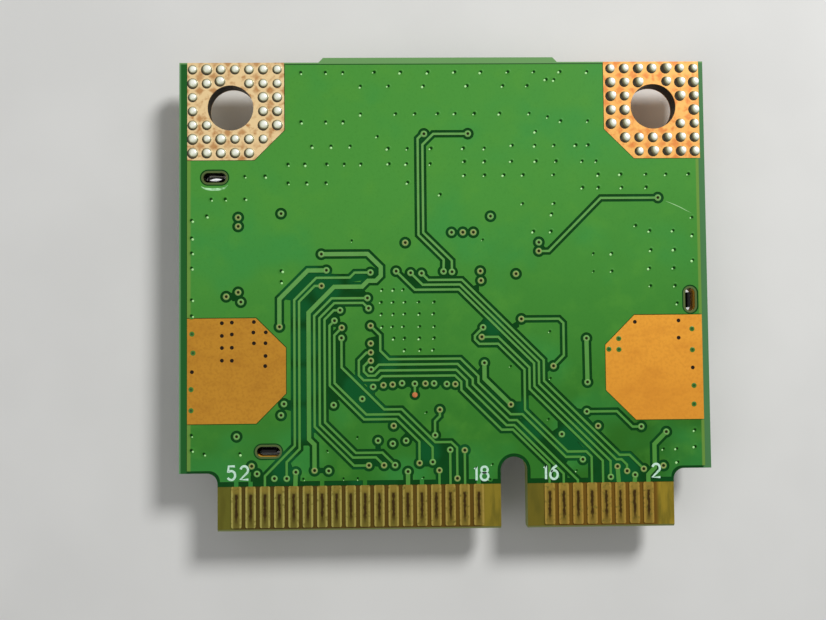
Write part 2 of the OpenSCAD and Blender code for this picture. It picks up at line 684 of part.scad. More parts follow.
// Bumps stand in rows where they clear the hole and the cut corner
module solder_bumps(side) {
    a = bump_diameter / 2;
    ball = (a * a + bump_height * bump_height) / (2 * bump_height);
    near = hole_diameter / 2 + hole_plating + a;
    pad_x = corner_pad_side(side);
    low = [pad_x - corner_pad_width, rear_y - corner_pad_depth];
    color("silver")
        for (i = [0:bumps_per_side - 1], j = [0:bumps_per_side - 1])
            let (v = [pad_x - bump_side_inset - bump_pitch * i, rear_y - bump_rear_inset - bump_pitch * j],
                clears = from_hole(v) > near
                    || (from_hole(v) > near - a / 2 && v[1] > hole_y + hole_diameter / 2),
                place = off_hole(v, near))
                if (clears && v[0] - low[0] + v[1] - low[1] > corner_pad_cut + 1.5 * a)
                    translate([side * place[0], place[1], wiring_z + mask_thickness])
                        intersection() {
                            translate([0, 0, bump_height - ball]) sphere(ball);
                            translate([0, 0, bump_height / 2])
                                cube([4 * a, 4 * a, bump_height], center = true);
                        }
}

module solder_bumps_left() { solder_bumps(-1); }
module solder_bumps_right() { solder_bumps(1); }

module side_pad(side, holes) {
    color("orange")
        translate([0, 0, wiring_z])
            linear_extrude(mask_thickness)
                difference() {
                    side_pad_outline(side, 0);
                    for (v = holes)
                        translate(v) circle(pad_via_hole, $fn = 16);
                }
}

module side_pad_left() { side_pad(-1, left_side_vias); }
module side_pad_right() { side_pad(1, right_side_vias); }

// Plated slots for the legs of the shield
module slot_plating() {
    color("peru") {
        translate([0, 0, component_z])
            linear_extrude(board_thickness)
                difference() {
                    slot_outlines(slot_plating_wall);
                    slot_outlines(0);
                }
        translate([0, 0, wiring_z])
            linear_extrude(mask_thickness)
                difference() {
                    slot_outlines(slot_land);
                    slot_outlines(0);
                }
    }
}

// Component side
module front_mask() {
    color("darkgreen")
        translate([0, 0, component_z - mask_thickness])
            linear_extrude(mask_thickness)
                difference() {
                    mask_outline();
                    slot_outlines(slot_plating_wall);
                    for (side = [-1, 1])
                        corner_pad_outline(side, 0);
                    shield_ring(shield_sheet / 2 + fine, -rim_width);
                    for (side = [-1, 1])
                        translate([side * connector_x, rear_y - connector_inset])
                            square(connector_base + 2 * connector_opening, center = true);
                }
}

// A rounded rectangle that stands out from the middle line of the shield wall
module shield_shape(out) {
    w = shield_width + 2 * out;
    d = shield_depth + 2 * out;
    r = max(shield_round + out, fine);
    translate([0, shield_y]) {
        square([w - 2 * r, d], center = true);
        square([w, d - 2 * r], center = true);
        for (sx = [-1, 1], sy = [-1, 1])
            translate([sx * (w / 2 - r), sy * (d / 2 - r)]) circle(r);
    }
}

module shield_ring(outer, inner) {
    difference() {
        shield_shape(outer);
        shield_shape(inner);
    }
}

module shield_frame() {
    half = shield_sheet / 2;
    color("lightgray") {
        translate([0, 0, 2 * shield_sheet])
            linear_extrude(component_z - 2 * shield_sheet) shield_ring(half, -half);
        translate([0, 0, shield_sheet])
            linear_extrude(shield_sheet) shield_ring(half, -rim_width);
        for (leg = leg_places)
            translate([leg[0], leg[1], component_z + (board_thickness - leg_recess) / 2 - fine])
                rotate(leg[2] ? 0 : 90)
                    cube([leg_width, shield_sheet, board_thickness - leg_recess + 2 * fine], center = true);
    }
}

module shield_lid() {
    half = shield_sheet / 2;
    color("silver") {
        linear_extrude(shield_sheet) shield_shape(half + lid_gap + shield_sheet);
        linear_extrude(skirt_depth) shield_ring(half + lid_gap + shield_sheet, half + lid_gap);
    }
}

// A block that hangs under the board at a place, turned about Z
module hung(place, turn, size, gap = 0) {
    translate([place[0], place[1], seat_z - gap - size[2] / 2])
        rotate(turn) cube(size, center = true);
}

module chip(place, side, height) {
    color("dimgray") hung(place, 0, [side, side, height - solder_gap], solder_gap);
}

// Solder lands along the four sides of a chip and under its middle
module chip_terminals(place, side, per_side) {
    land_share = 0.55;
    color("silver") {
        hung(place, 0, [land_share * side, land_share * side, solder_gap]);
        for (turn = [0:90:270], k = [0:per_side - 1])
            translate([place[0], place[1], seat_z - solder_gap / 2])
                rotate(turn)
                    translate([side / 2 + land_reach - land_length / 2,
                        (k - (per_side - 1) / 2) * land_pitch, 0])
                        cube([land_length, land_share * land_pitch, solder_gap], center = true);
    }
}

// Bent leads on two sides of a small package
module gull_leads(place, size, per_side, pitch) {
    w = 0.45 * pitch;
    color("silver")
        for (turn = [0, 180], k = [0:per_side - 1])
            translate([place[0], place[1], seat_z])
                rotate(turn)
                    translate([0, (k - (per_side - 1) / 2) * pitch + w / 2, 0])
                        rotate([90, 0, 0])
                            linear_extrude(w) lead_profile(size[0] / 2, lead_standoff + size[2] / 2);
}

module lead_profile(x, drop) {
    t = lead_thickness;
    shoulder = x + 0.3 * lead_reach;
    heel = x + 0.5 * lead_reach;
    toe = x + lead_reach;
    polygon([[x, -drop], [shoulder + t, -drop], [heel + t / 2, -t], [toe, -t], [toe, 0],
        [heel - t / 2, 0], [shoulder, t - drop], [x, t - drop]]);
}

module radio_chip() { chip(radio_place, radio_side, radio_height); }
module radio_chip_terminals() { chip_terminals(radio_place, radio_side, radio_lands); }
module front_end_chip_main() { chip(front_end_main_place, front_end_side, small_chip_height); }
module front_end_chip_aux() { chip(front_end_aux_place, front_end_side, small_chip_height); }

module front_end_terminals() {
    for (place = [front_end_main_place, front_end_aux_place])
        chip_terminals(place, front_end_side, 4);
}

module leaded_chip(place, size) {
    color("dimgray") hung(place, 0, size, lead_standoff);
}

module regulator_chip() { leaded_chip(regulator_place, regulator_size); }
module regulator_leads() { gull_leads(regulator_place, regulator_size, 3, 0.95); }
module memory_chip() { leaded_chip(memory_place, memory_size); }
module memory_leads() { gull_leads(memory_place, memory_size, 4, 0.65); }

module crystal() {
    color("gainsboro") hung(crystal_place, 0, crystal_size);
}

module crystal_lid() {
    color("silver") hung(crystal_place, 0, crystal_lid_size, crystal_size[2]);
}

// A square block with its four corners cut off
module power_inductor() {
    s = inductor_side / 2;
    c = inductor_side / 6;
    color("dimgray")
        translate([inductor_place[0], inductor_place[1], seat_z - inductor_height])
            linear_extrude(inductor_height - solder_gap)
                polygon([[s, c - s], [s, s - c], [s - c, s], [c - s, s], [-s, s - c], [-s, c - s],
                    [c - s, -s], [s - c, -s]]);
}

module inductor_terminals() {
    color("silver")
        for (side = [-1, 1])
            hung([inductor_place[0] + side * inductor_side / 3, inductor_place[1]], 0,
                [inductor_side / 4, 0.6 * inductor_side, solder_gap]);
}

// Chip capacitors and resistors: a body between two end caps
module passive_bodies(places, height) {
    for (p = places)
        hung(p, p[2], [passive_length / 2, passive_width - 2 * cap_step, height - 2 * cap_step], cap_step);
}

module passive_caps(places, height) {
    cap = passive_length / 4;
    for (p = places, side = [-1, 1])
        translate([p[0], p[1], seat_z - height / 2])
            rotate(p[2])
                translate([side * (passive_length - cap) / 2, 0, 0])
                    cube([cap, passive_width, height], center = true);
}

capacitor_height = passive_width;
resistor_height = 0.7 * passive_width;

module capacitors() { color("burlywood") passive_bodies(capacitor_places, capacitor_height); }
module capacitor_terminals() { color("silver") passive_caps(capacitor_places, capacitor_height); }
module resistors() { color("dimgray") passive_bodies(resistor_places, resistor_height); }
module resistor_terminals() { color("silver") passive_caps(resistor_places, resistor_height); }

// Antenna connectors: plastic base, ground shell with side feet, and centre pin
module at_connector(side) {
    translate([side * connector_x, rear_y - connector_inset, component_z])
        mirror([0, 0, 1]) children();
}

module antenna_base(side) {
    color("ivory")
        at_connector(side)
            difference() {
                translate([0, 0, connector_base_height / 2])
                    cube([connector_base, connector_base, connector_base_height], center = true);
                translate([0, 0, -fine])
                    cylinder(d = centre_pin_diameter, h = connector_base_height + 2 * fine);
            }
}

module antenna_shell(side) {
    out = connector_base / 2;
    foot = connector_foot;
    foot_height = connector_base_height + barrel_wall;
    strap_start = (barrel_diameter - barrel_wall) / 2;
    strap_length = out + foot[0] - strap_start;
    color("gold")
        at_connector(side) {
            translate([0, 0, connector_base_height])
                difference() {
                    cylinder(d = barrel_diameter, h = connector_height - connector_base_height);
                    translate([0, 0, -fine])
                        cylinder(d = barrel_diameter - 2 * barrel_wall, h = connector_height);
                }
            for (x = [-1, 1]) {
                translate([x * (out + foot[0] / 2), 0, foot_height / 2])
                    cube([foot[0], foot[1], foot_height], center = true);
                translate([x * (strap_start + strap_length / 2), 0, foot_height - barrel_wall / 2])
                    cube([strap_length, strap_width, barrel_wall], center = true);
            }
        }
}

module antenna_pin(side) {
    color("gold")
        at_connector(side)
            cylinder(d = centre_pin_diameter, h = connector_height - pin_recess);
}

module antenna_base_main() { antenna_base(-1); }
module antenna_shell_main() { antenna_shell(-1); }
module antenna_pin_main() { antenna_pin(-1); }
module antenna_base_aux() { antenna_base(1); }
module antenna_shell_aux() { antenna_shell(1); }
module antenna_pin_aux() { antenna_pin(1); }

board();
back_mask();
back_ground_copper();
back_tracks();
back_via_rings();
test_pad();
back_contacts();
front_contacts();
back_corner_pad_left();
back_corner_pad_right();
solder_bumps_left();
solder_bumps_right();
side_pad_left();
side_pad_right();
slot_plating();
front_mask();
front_corner_pad_left();
front_corner_pad_right();
shield_frame();
shield_lid();
radio_chip();
radio_chip_terminals();
front_end_chip_main();
front_end_chip_aux();
front_end_terminals();
regulator_chip();
regulator_leads();
memory_chip();
memory_leads();
crystal();
crystal_lid();
power_inductor();
inductor_terminals();
capacitors();
capacitor_terminals();
resistors();
resistor_terminals();
antenna_base_main();
antenna_shell_main();
antenna_pin_main();
antenna_base_aux();
antenna_shell_aux();
antenna_pin_aux();
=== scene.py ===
# Half-size laptop wireless card, lying on its shield lid with the wiring side up.
# Lengths in the dictionaries are millimetres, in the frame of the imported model.
import bpy
import math
import numpy as np
from mathutils import Matrix, Vector


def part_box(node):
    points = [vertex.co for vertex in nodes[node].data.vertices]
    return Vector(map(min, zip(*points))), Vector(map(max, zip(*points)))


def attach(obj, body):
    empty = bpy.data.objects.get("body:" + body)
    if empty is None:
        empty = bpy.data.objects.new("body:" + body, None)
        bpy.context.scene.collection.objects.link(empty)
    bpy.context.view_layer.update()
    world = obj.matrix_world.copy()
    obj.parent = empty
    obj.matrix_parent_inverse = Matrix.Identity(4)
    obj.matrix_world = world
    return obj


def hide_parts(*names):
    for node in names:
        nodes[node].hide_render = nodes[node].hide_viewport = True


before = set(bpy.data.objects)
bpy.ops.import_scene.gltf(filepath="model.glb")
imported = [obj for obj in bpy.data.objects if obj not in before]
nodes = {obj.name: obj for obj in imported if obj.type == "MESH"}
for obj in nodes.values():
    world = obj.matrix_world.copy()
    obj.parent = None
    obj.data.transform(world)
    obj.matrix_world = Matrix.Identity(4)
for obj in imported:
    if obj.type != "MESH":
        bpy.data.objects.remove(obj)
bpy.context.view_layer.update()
mm = 0.001
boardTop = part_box("board")[1].z / mm
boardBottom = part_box("board")[0].z / mm
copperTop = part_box("back_ground_copper")[1].z / mm
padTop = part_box("side_pad_left")[1].z / mm
print("frame loaded, nodes:", len(nodes))

# Camera, found from the card's outline in the photograph
camera = {
    "focal pixels": 923.0,
    "picture width": 826,
    "tilt degrees": (2.38, -1.17, -0.51),   # turn from the camera's axes to the world's
    "place": (-1.8, -1.09, 52.4),           # in the camera's own axes, over the wiring side
}


def turnAbout(vector):
    # Turn by the vector's length about its direction
    angle = math.radians(np.linalg.norm(vector))
    x, y, z = np.array(vector) / np.linalg.norm(vector)
    skew = np.array([[0, -z, y], [z, 0, -x], [-y, x, 0]])
    return np.eye(3) + math.sin(angle) * skew + (1 - math.cos(angle)) * skew @ skew


def placeCamera(c):
    data = bpy.data.cameras.new("camera")
    data.sensor_width = 36
    data.lens = c["focal pixels"] / c["picture width"] * data.sensor_width
    data.clip_start = 0.002
    data.clip_end = 20
    turn = turnAbout(c["tilt degrees"])
    place = (turn @ np.array(c["place"]) + np.array([0, 0, boardTop])) * mm
    seen = bpy.data.objects.new("camera", data)
    bpy.context.scene.collection.objects.link(seen)
    seen.matrix_world = Matrix.Translation(place) @ Matrix(turn.tolist()).to_4x4()
    bpy.context.scene.camera = seen


placeCamera(camera)
bpy.context.scene.view_settings.view_transform = "Standard"

# Light and background
studio = {
    "key": {"place": (85, 105, 130), "size": 50, "watts": 0.29},
    "fill": {"place": (-95, -30, 120), "size": 120, "watts": 0.03},
    "sky": 0.34,          # strength of the world on the object
    "shown": 0.97,        # brightness of the world where the camera sees it
    "floor": (0.86, 0.86, 0.85),
    "floor reach": 600,
}


def areaLight(name, place, size, watts):
    lamp = bpy.data.lights.new(name, "AREA")
    lamp.shape = "DISK"
    lamp.size = size * mm
    lamp.energy = watts
    shown = bpy.data.objects.new(name, lamp)
    bpy.context.scene.collection.objects.link(shown)
    spot = np.array(place, float)
    shown.location = spot * mm
    shown.rotation_mode = "QUATERNION"
    shown.rotation_quaternion = Vector(spot).to_track_quat("Z", "Y")


def buildStudio(s):
    areaLight("key", **s["key"])
    areaLight("fill", **s["fill"])
    world = bpy.data.worlds.new("studio")
    bpy.context.scene.world = world
    world.use_nodes = True
    tree = world.node_tree
    tree.nodes.clear()
    path = tree.nodes.new("ShaderNodeLightPath")
    seen = tree.nodes.new("ShaderNodeMath")
    seen.operation = "ADD"
    seen.use_clamp = True
    tree.links.new(path.outputs["Is Camera Ray"], seen.inputs[0])
    tree.links.new(path.outputs["Is Glossy Ray"], seen.inputs[1])
    alsoThrough = tree.nodes.new("ShaderNodeMath")
    alsoThrough.operation = "ADD"
    alsoThrough.use_clamp = True
    tree.links.new(seen.outputs[0], alsoThrough.inputs[0])
    tree.links.new(path.outputs["Is Transmission Ray"], alsoThrough.inputs[1])
    soft = tree.nodes.new("ShaderNodeBackground")
    soft.inputs["Strength"].default_value = s["sky"]
    pale = tree.nodes.new("ShaderNodeBackground")
    pale.inputs["Strength"].default_value = s["shown"]
    mix = tree.nodes.new("ShaderNodeMixShader")
    tree.links.new(alsoThrough.outputs[0], mix.inputs[0])
    tree.links.new(soft.outputs[0], mix.inputs[1])
    tree.links.new(pale.outputs[0], mix.inputs[2])
    out = tree.nodes.new("ShaderNodeOutputWorld")
    tree.links.new(mix.outputs[0], out.inputs[0])
    ends = [-s["floor reach"], s["floor reach"]]
    ground = gridMesh("floor", *np.meshgrid(ends, ends), np.zeros((2, 2)))
    ground.data.materials.append(plainMaterial("pale floor", s["floor"], 0.9))


def linear(colour):
    # sRGB 0 to 255, or 0 to 1, to the shader's linear values
    c = np.array(colour, float)
    c = c / 255 if c.max() > 1 else c
    return (*np.where(c <= 0.04045, c / 12.92, ((c + 0.055) / 1.055) ** 2.4), 1.0)


class Shader:
    # A Principled material and short ways to add nodes to it
    def __init__(self, name, roughness, metallic=0.0, specular=0.5, coat=0.0, coatRoughness=0.1):
        self.material = bpy.data.materials.new(name)
        self.material.use_nodes = True
        self.tree = self.material.node_tree
        self.surface = self.tree.nodes["Principled BSDF"]
        self.surface.inputs["Roughness"].default_value = roughness
        self.surface.inputs["Metallic"].default_value = metallic
        self.surface.inputs["Specular IOR Level"].default_value = specular
        self.surface.inputs["Coat Weight"].default_value = coat
        self.surface.inputs["Coat Roughness"].default_value = coatRoughness
        self.place = self.add("ShaderNodeTexCoord").outputs["Object"]

    def add(self, kind, **settings):
        node = self.tree.nodes.new(kind)
        for key, value in settings.items():
            setattr(node, key, value)
        return node

    def put(self, value, socket):
        if isinstance(value, bpy.types.NodeSocket):
            self.tree.links.new(value, socket)
        else:
            socket.default_value = value

    def math(self, operation, a, b=0.0, clamp=False):
        node = self.add("ShaderNodeMath", operation=operation, use_clamp=clamp)
        self.put(a, node.inputs[0])
        self.put(b, node.inputs[1])
        return node.outputs[0]

    def along(self, axis):
        # The place along one axis, in millimetres
        if not hasattr(self, "parts"):
            split = self.add("ShaderNodeSeparateXYZ")
            self.put(self.place, split.inputs[0])
            self.parts = {k: self.math("DIVIDE", split.outputs[k], mm) for k in "XYZ"}
        return self.parts[axis]

    def ramp(self, value, low, high):
        # 0 below low, 1 above high, smooth between; low may be the larger one
        node = self.add("ShaderNodeMapRange", interpolation_type="SMOOTHSTEP")
        self.put(value, node.inputs["Value"])
        node.inputs["From Min"].default_value = low
        node.inputs["From Max"].default_value = high
        return node.outputs["Result"]

    def between(self, value, low, high, soft):
        # 1 from low to high, falling smoothly to 0 within soft on both sides
        rise = self.ramp(value, low - soft, low)
        return self.math("MULTIPLY", rise, self.ramp(value, high + soft, high))

    def noise(self, size, detail=2.0, stretch=(1, 1, 1), seed=0.0):
        # Noise with features of about this many millimetres
        mapping = self.add("ShaderNodeMapping")
        self.put(self.place, mapping.inputs["Vector"])
        mapping.inputs["Location"].default_value = (seed, seed, 0)
        mapping.inputs["Scale"].default_value = [s / (size * mm) for s in stretch]
        node = self.add("ShaderNodeTexNoise")
        self.put(mapping.outputs[0], node.inputs["Vector"])
        node.inputs["Scale"].default_value = 1.0
        node.inputs["Detail"].default_value = detail
        return node.outputs["Fac"]

    def patches(self, size, detail, low, high, share, stretch=(1, 1, 1), seed=0.0):
        # 0 where the noise is under low, rising to the share where it is over high
        return self.math("MULTIPLY", self.ramp(self.noise(size, detail, stretch, seed), low, high), share)

    def mix(self, factor, a, b):
        node = self.add("ShaderNodeMix", data_type="RGBA")
        self.put(factor, node.inputs["Factor"])
        self.put(linear(a) if isinstance(a, tuple) else a, node.inputs["A"])
        self.put(linear(b) if isinstance(b, tuple) else b, node.inputs["B"])
        return node.outputs["Result"]

    def colour(self, value):
        self.put(linear(value) if isinstance(value, tuple) else value, self.surface.inputs["Base Color"])
        return self

    def bump(self, height, strength, depth):
        node = self.add("ShaderNodeBump")
        node.inputs["Strength"].default_value = strength
        node.inputs["Distance"].default_value = depth * mm
        self.put(height, node.inputs["Height"])
        self.put(node.outputs[0], self.surface.inputs["Normal"])
        return self


def plainMaterial(name, colour, roughness):
    shader = Shader(name, roughness, specular=0.2)
    spread = shader.noise(9, 3)
    shader.colour(shader.mix(shader.ramp(spread, 0.3, 0.7), colour, tuple(np.array(colour) * 0.98)))
    return shader.material


def meshPiece(name, points, faces, material, slot=None, smooth=False, tones=None):
    mesh = bpy.data.meshes.new(name)
    mesh.from_pydata((np.array(points, float) * mm).tolist(), [], [list(map(int, f)) for f in faces])
    mesh.polygons.foreach_set("use_smooth", [smooth] * len(mesh.polygons))
    if tones is not None:
        layer = mesh.attributes.new("tone", "FLOAT", "POINT")
        layer.data.foreach_set("value", np.array(tones, float).ravel())
    mesh.update()
    piece = bpy.data.objects.new(name, mesh)
    bpy.context.scene.collection.objects.link(piece)
    if material:
        mesh.materials.append(material)
    if slot:
        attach(piece, "root")
    return piece


def gridFaces(rows, columns, closed=False):
    # Quads between neighbours of a grid; closed joins the last column to the first
    last = columns if closed else columns - 1
    r, c = np.meshgrid(np.arange(rows - 1), np.arange(last), indexing="ij")
    n = (c + 1) % columns
    corners = (r * columns + c, r * columns + n, (r + 1) * columns + n, (r + 1) * columns + c)
    return np.stack(corners, -1).reshape(-1, 4)


def gridMesh(name, x, y, z):
    points = np.stack([x, y, z], -1).reshape(-1, 3)
    return meshPiece(name, points, gridFaces(*x.shape), None)


buildStudio(studio)
print("camera and studio ready")


def wear(shader, base, dark, size=0.25, low=0.56, high=0.72, seed=0.0):
    # Small darker specks over a colour
    return shader.mix(shader.ramp(shader.noise(size, 3, seed=seed), low, high), base, dark)


# Solder mask over the wide copper, over the tracks and over the bare laminate
mask = {
    "pour": (74, 146, 58),
    "pour low shaded": (46, 112, 35),
    "pour corner": (36, 86, 20),
    "mottle": (86, 152, 54),
    "cool": (54, 142, 68),
    "gap": (10, 83, 37),
    "gap shaded": (5, 62, 15),
    "strip left": (32, 92, 38),
    "strip rim": (112, 164, 112),
    "strip right": (74, 122, 76),
    "rear strip": (108, 154, 94),
    "track": (104, 162, 84),
    "track low shaded": (78, 142, 58),
    "pour edge highlight": (118, 150, 66),
    # the pit colour darkens sunk middles: painted shade
    "pit": (4, 44, 6),
    "roughness": 0.34,
    "specular": 0.08,
    # middles and radii of the places where the bare laminate is wide; elsewhere the gaps get painted shade
    "wide gaps": (
        (-8.5, 0.4, 0.9), (-7.9, 1.2, 0.7), (-6.7, 0.3, 0.8), (-4.9, 0.7, 0.5), (-8.15, -1.0, 0.6),
        (-8.15, -3.0, 0.9), (-8.15, -5.2, 0.9), (-8.15, -7.4, 0.9), (-4.9, -5.5, 0.8), (-4.2, -6.5, 0.8),
        (-3.2, -4.0, 0.5), (-1.0, -9.0, 0.6), (2.7, -2.0, 0.5), (4.4, -6.6, 0.4), (4.9, -7.9, 0.6),
        (7.3, -8.6, 1.0), (10.0, -10.0, 0.9), (-9.0, -9.8, 0.8), (-5.0, -10.4, 0.5), (1.3, -8.5, 0.6),
    ),
    "wide gap fade": (0.35, -0.25),       # from outside the radius to inside it
    # where one colour gives way to the next, from its start to its full share
    "low to high": (-11, 11),
    "pour corner x": (3, 11),
    "pour corner y": (-3, -8),
    # the painted highlight along the pour's edges
    "pour edge highlight left": (-14.3, -14.4),
    "pour edge highlight right": (14.45, 14.52),
    "strip x": (14.5, 14.62),
    "strip rim x": (-14.87, -14.97),
    "rear strip y": (13.02, 13.08),
}


def heightMix(shader, upper, lower):
    # Upper colour towards the mounting holes, lower colour towards the contacts; the lower one is darker,
    # partly as the mask's own tone and partly as painted shade of the light falling off towards the contacts
    wander = shader.math("MULTIPLY", shader.noise(7, 2), 6.0)
    height = shader.math("ADD", shader.along("Y"), wander)
    height = shader.math("SUBTRACT", height, shader.math("MULTIPLY", shader.along("X"), 0.18))
    return shader.mix(shader.ramp(height, *mask["low to high"]), lower, upper)


def pourColour(shader):
    # Cloudy green, cooler in patches and darker in one corner, with a yellowish painted highlight along
    # the pour's edge on both sides
    colour = heightMix(shader, mask["pour"], mask["pour low shaded"])
    across = shader.ramp(shader.along("X"), *mask["pour corner x"])
    corner = shader.math("MULTIPLY", across, shader.ramp(shader.along("Y"), *mask["pour corner y"]))
    colour = shader.mix(shader.math("MULTIPLY", corner, 0.5), colour, mask["pour corner"])
    colour = shader.mix(shader.patches(4.5, 2, 0.5, 0.72, 0.5, seed=13), colour, mask["cool"])
    colour = shader.mix(shader.patches(1.3, 4, 0.45, 0.8, 0.35, seed=3), colour, mask["mottle"])
    colour = shader.mix(shader.patches(0.12, 2, 0.5, 0.75, 0.14, seed=7), colour, mask["pour low shaded"])
    x = shader.along("X")
    left = shader.ramp(x, *mask["pour edge highlight left"])
    sides = shader.math("ADD", left, shader.ramp(x, *mask["pour edge highlight right"]), clamp=True)
    return shader.mix(shader.math("MULTIPLY", sides, 0.7), colour, mask["pour edge highlight"])


def pourMaterial():
    shader = Shader("mask over the ground copper", mask["roughness"], specular=mask["specular"])
    shader.colour(pourColour(shader))
    shader.bump(shader.noise(0.35, 3, seed=5), 0.2, 0.003)
    return shader.material


def gapMaterial():
    # Bare laminate under the mask: blue-green where it is wide and darker in the narrow gaps, as painted
    # shade of the copper edges beside them, with strips of other greens at the edges
    shader = Shader("mask over bare laminate", mask["roughness"], specular=mask["specular"])
    wide = 0.0
    outside, inside = mask["wide gap fade"]
    for x, y, radius in mask["wide gaps"]:
        span = shader.add("ShaderNodeVectorMath", operation="DISTANCE")
        shader.put(shader.place, span.inputs[0])
        span.inputs[1].default_value = (x * mm, y * mm, boardTop * mm)
        here = shader.ramp(span.outputs["Value"], (radius + outside) * mm, (radius + inside) * mm)
        wide = shader.math("MAXIMUM", here, wide)
    cloud = shader.patches(1.6, 3, 0.42, 0.6, 0.25)
    colour = shader.mix(shader.math("ADD", wide, cloud, clamp=True), mask["gap shaded"], mask["gap"])
    x = shader.along("X")
    far = shader.math("ABSOLUTE", x)
    strip = shader.mix(shader.ramp(x, -1, 1), mask["strip left"], mask["strip right"])
    rim = shader.math("MULTIPLY", shader.ramp(x, *mask["strip rim x"]), 0.75)
    strip = shader.mix(rim, strip, mask["strip rim"])
    colour = shader.mix(shader.ramp(far, *mask["strip x"]), colour, strip)
    rear = shader.ramp(shader.along("Y"), *mask["rear strip y"])
    shader.colour(shader.mix(rear, colour, mask["rear strip"]))
    shader.bump(shader.noise(0.3, 2, seed=2), 0.2, 0.004)
    return shader.material


def trackMaterial():
    shader = Shader("mask over the tracks", mask["roughness"], specular=mask["specular"])
    colour = heightMix(shader, mask["track"], mask["track low shaded"])
    shader.colour(shader.mix(shader.patches(0.5, 3, 0.45, 0.7, 0.3, seed=9), colour, mask["pour"]))
    shader.bump(shader.noise(0.2, 2, seed=4), 0.2, 0.004)
    return shader.material


# Gold plating on the pads and contacts
gold = {
    "side pad": (226, 154, 42),
    "side pad left shaded": (187, 131, 30),
    "side pad dull": (198, 124, 24),
    "side pad dull left shaded": (158, 102, 12),
    "corner pad": (226, 166, 82),
    "corner pad deep": (202, 112, 34),
    "corner pad left": (233, 203, 150),
    "corner pad left deep": (176, 118, 58),
    "corner pad rear": (150, 138, 84),
    "hole wall shade": (22, 15, 8),
    "contact": (132, 110, 42),
    "contact left": (104, 96, 36),
    "contact edge highlight": (168, 136, 58),
    "contact edge highlight left": (172, 164, 86),
    "contact head": (160, 136, 56),
    "mark": (48, 30, 2),
    "side pad shade y": (-1.5, -7.5),
    "corner pad rear y": (13.2, 13.28),
    "bump grid": (-14.25, 12.73),         # a bump's place, from which the diamonds between bumps repeat
    "pitch": 0.8,                         # of the contacts, and of the bumps
    "first x": -11.8,
    "mark from": -11.27,
    "head y": -11.2,
}


def sidePadMaterial():
    shader = Shader("side pad gold", 0.5, metallic=0.15, specular=0.3)
    # the left pad is darker than the right, and the right one darker towards the contacts: painted shade
    across = shader.ramp(shader.along("X"), -9, 9)
    base = shader.mix(across, gold["side pad left shaded"], gold["side pad"])
    dull = shader.mix(across, gold["side pad dull left shaded"], gold["side pad dull"])
    low = shader.math("MULTIPLY", shader.ramp(shader.along("Y"), *gold["side pad shade y"]), 0.4)
    base = shader.mix(shader.math("MULTIPLY", low, across), base, dull)
    colour = shader.mix(shader.patches(1.2, 4, 0.42, 0.75, 0.45, (0.8, 1.2, 1)), base, dull)
    shader.colour(shader.mix(shader.patches(0.16, 3, 0.42, 0.68, 0.35, seed=1), colour, dull))
    shader.bump(shader.noise(0.12, 3, stretch=(1, 1.6, 1)), 0.3, 0.004)
    return shader.material


def cornerPadMaterial():
    # Ragged diamonds of barer copper lie between the solder bumps; the wall of the hole is painted almost
    # black, as shade
    shader = Shader("corner pad gold", 0.42, metallic=0.2, specular=0.35)
    cell = []
    for axis, first in zip("XY", gold["bump grid"]):
        step = shader.math("DIVIDE", shader.math("SUBTRACT", shader.along(axis), first), gold["pitch"])
        cell.append(shader.math("ABSOLUTE", shader.math("SUBTRACT", shader.math("FRACT", step), 0.5)))
    ragged = shader.math("MULTIPLY", shader.math("SUBTRACT", shader.noise(0.3, 3, seed=12), 0.5), 0.5)
    far = shader.math("ADD", shader.math("ADD", *cell), ragged)
    patch = shader.patches(1.0, 3, 0.36, 0.58, 0.8, seed=6)
    diamond = shader.math("MULTIPLY", shader.ramp(far, 0.44, 0.16), patch)
    side = shader.ramp(shader.along("X"), -8, 8)
    base = shader.mix(side, gold["corner pad left"], gold["corner pad"])
    deep = shader.mix(side, gold["corner pad left deep"], gold["corner pad deep"])
    colour = wear(shader, shader.mix(diamond, base, deep), deep, 0.35, 0.5, 0.8)
    rear = shader.ramp(shader.along("Y"), *gold["corner pad rear y"])
    colour = shader.mix(rear, colour, gold["corner pad rear"])
    wall = shader.between(shader.along("Z"), boardBottom + 0.06, boardTop - 0.05, 0.05)
    shader.colour(shader.mix(wall, colour, gold["hole wall shade"]))
    shader.bump(shader.noise(0.14, 3), 0.4, 0.006)
    return shader.material


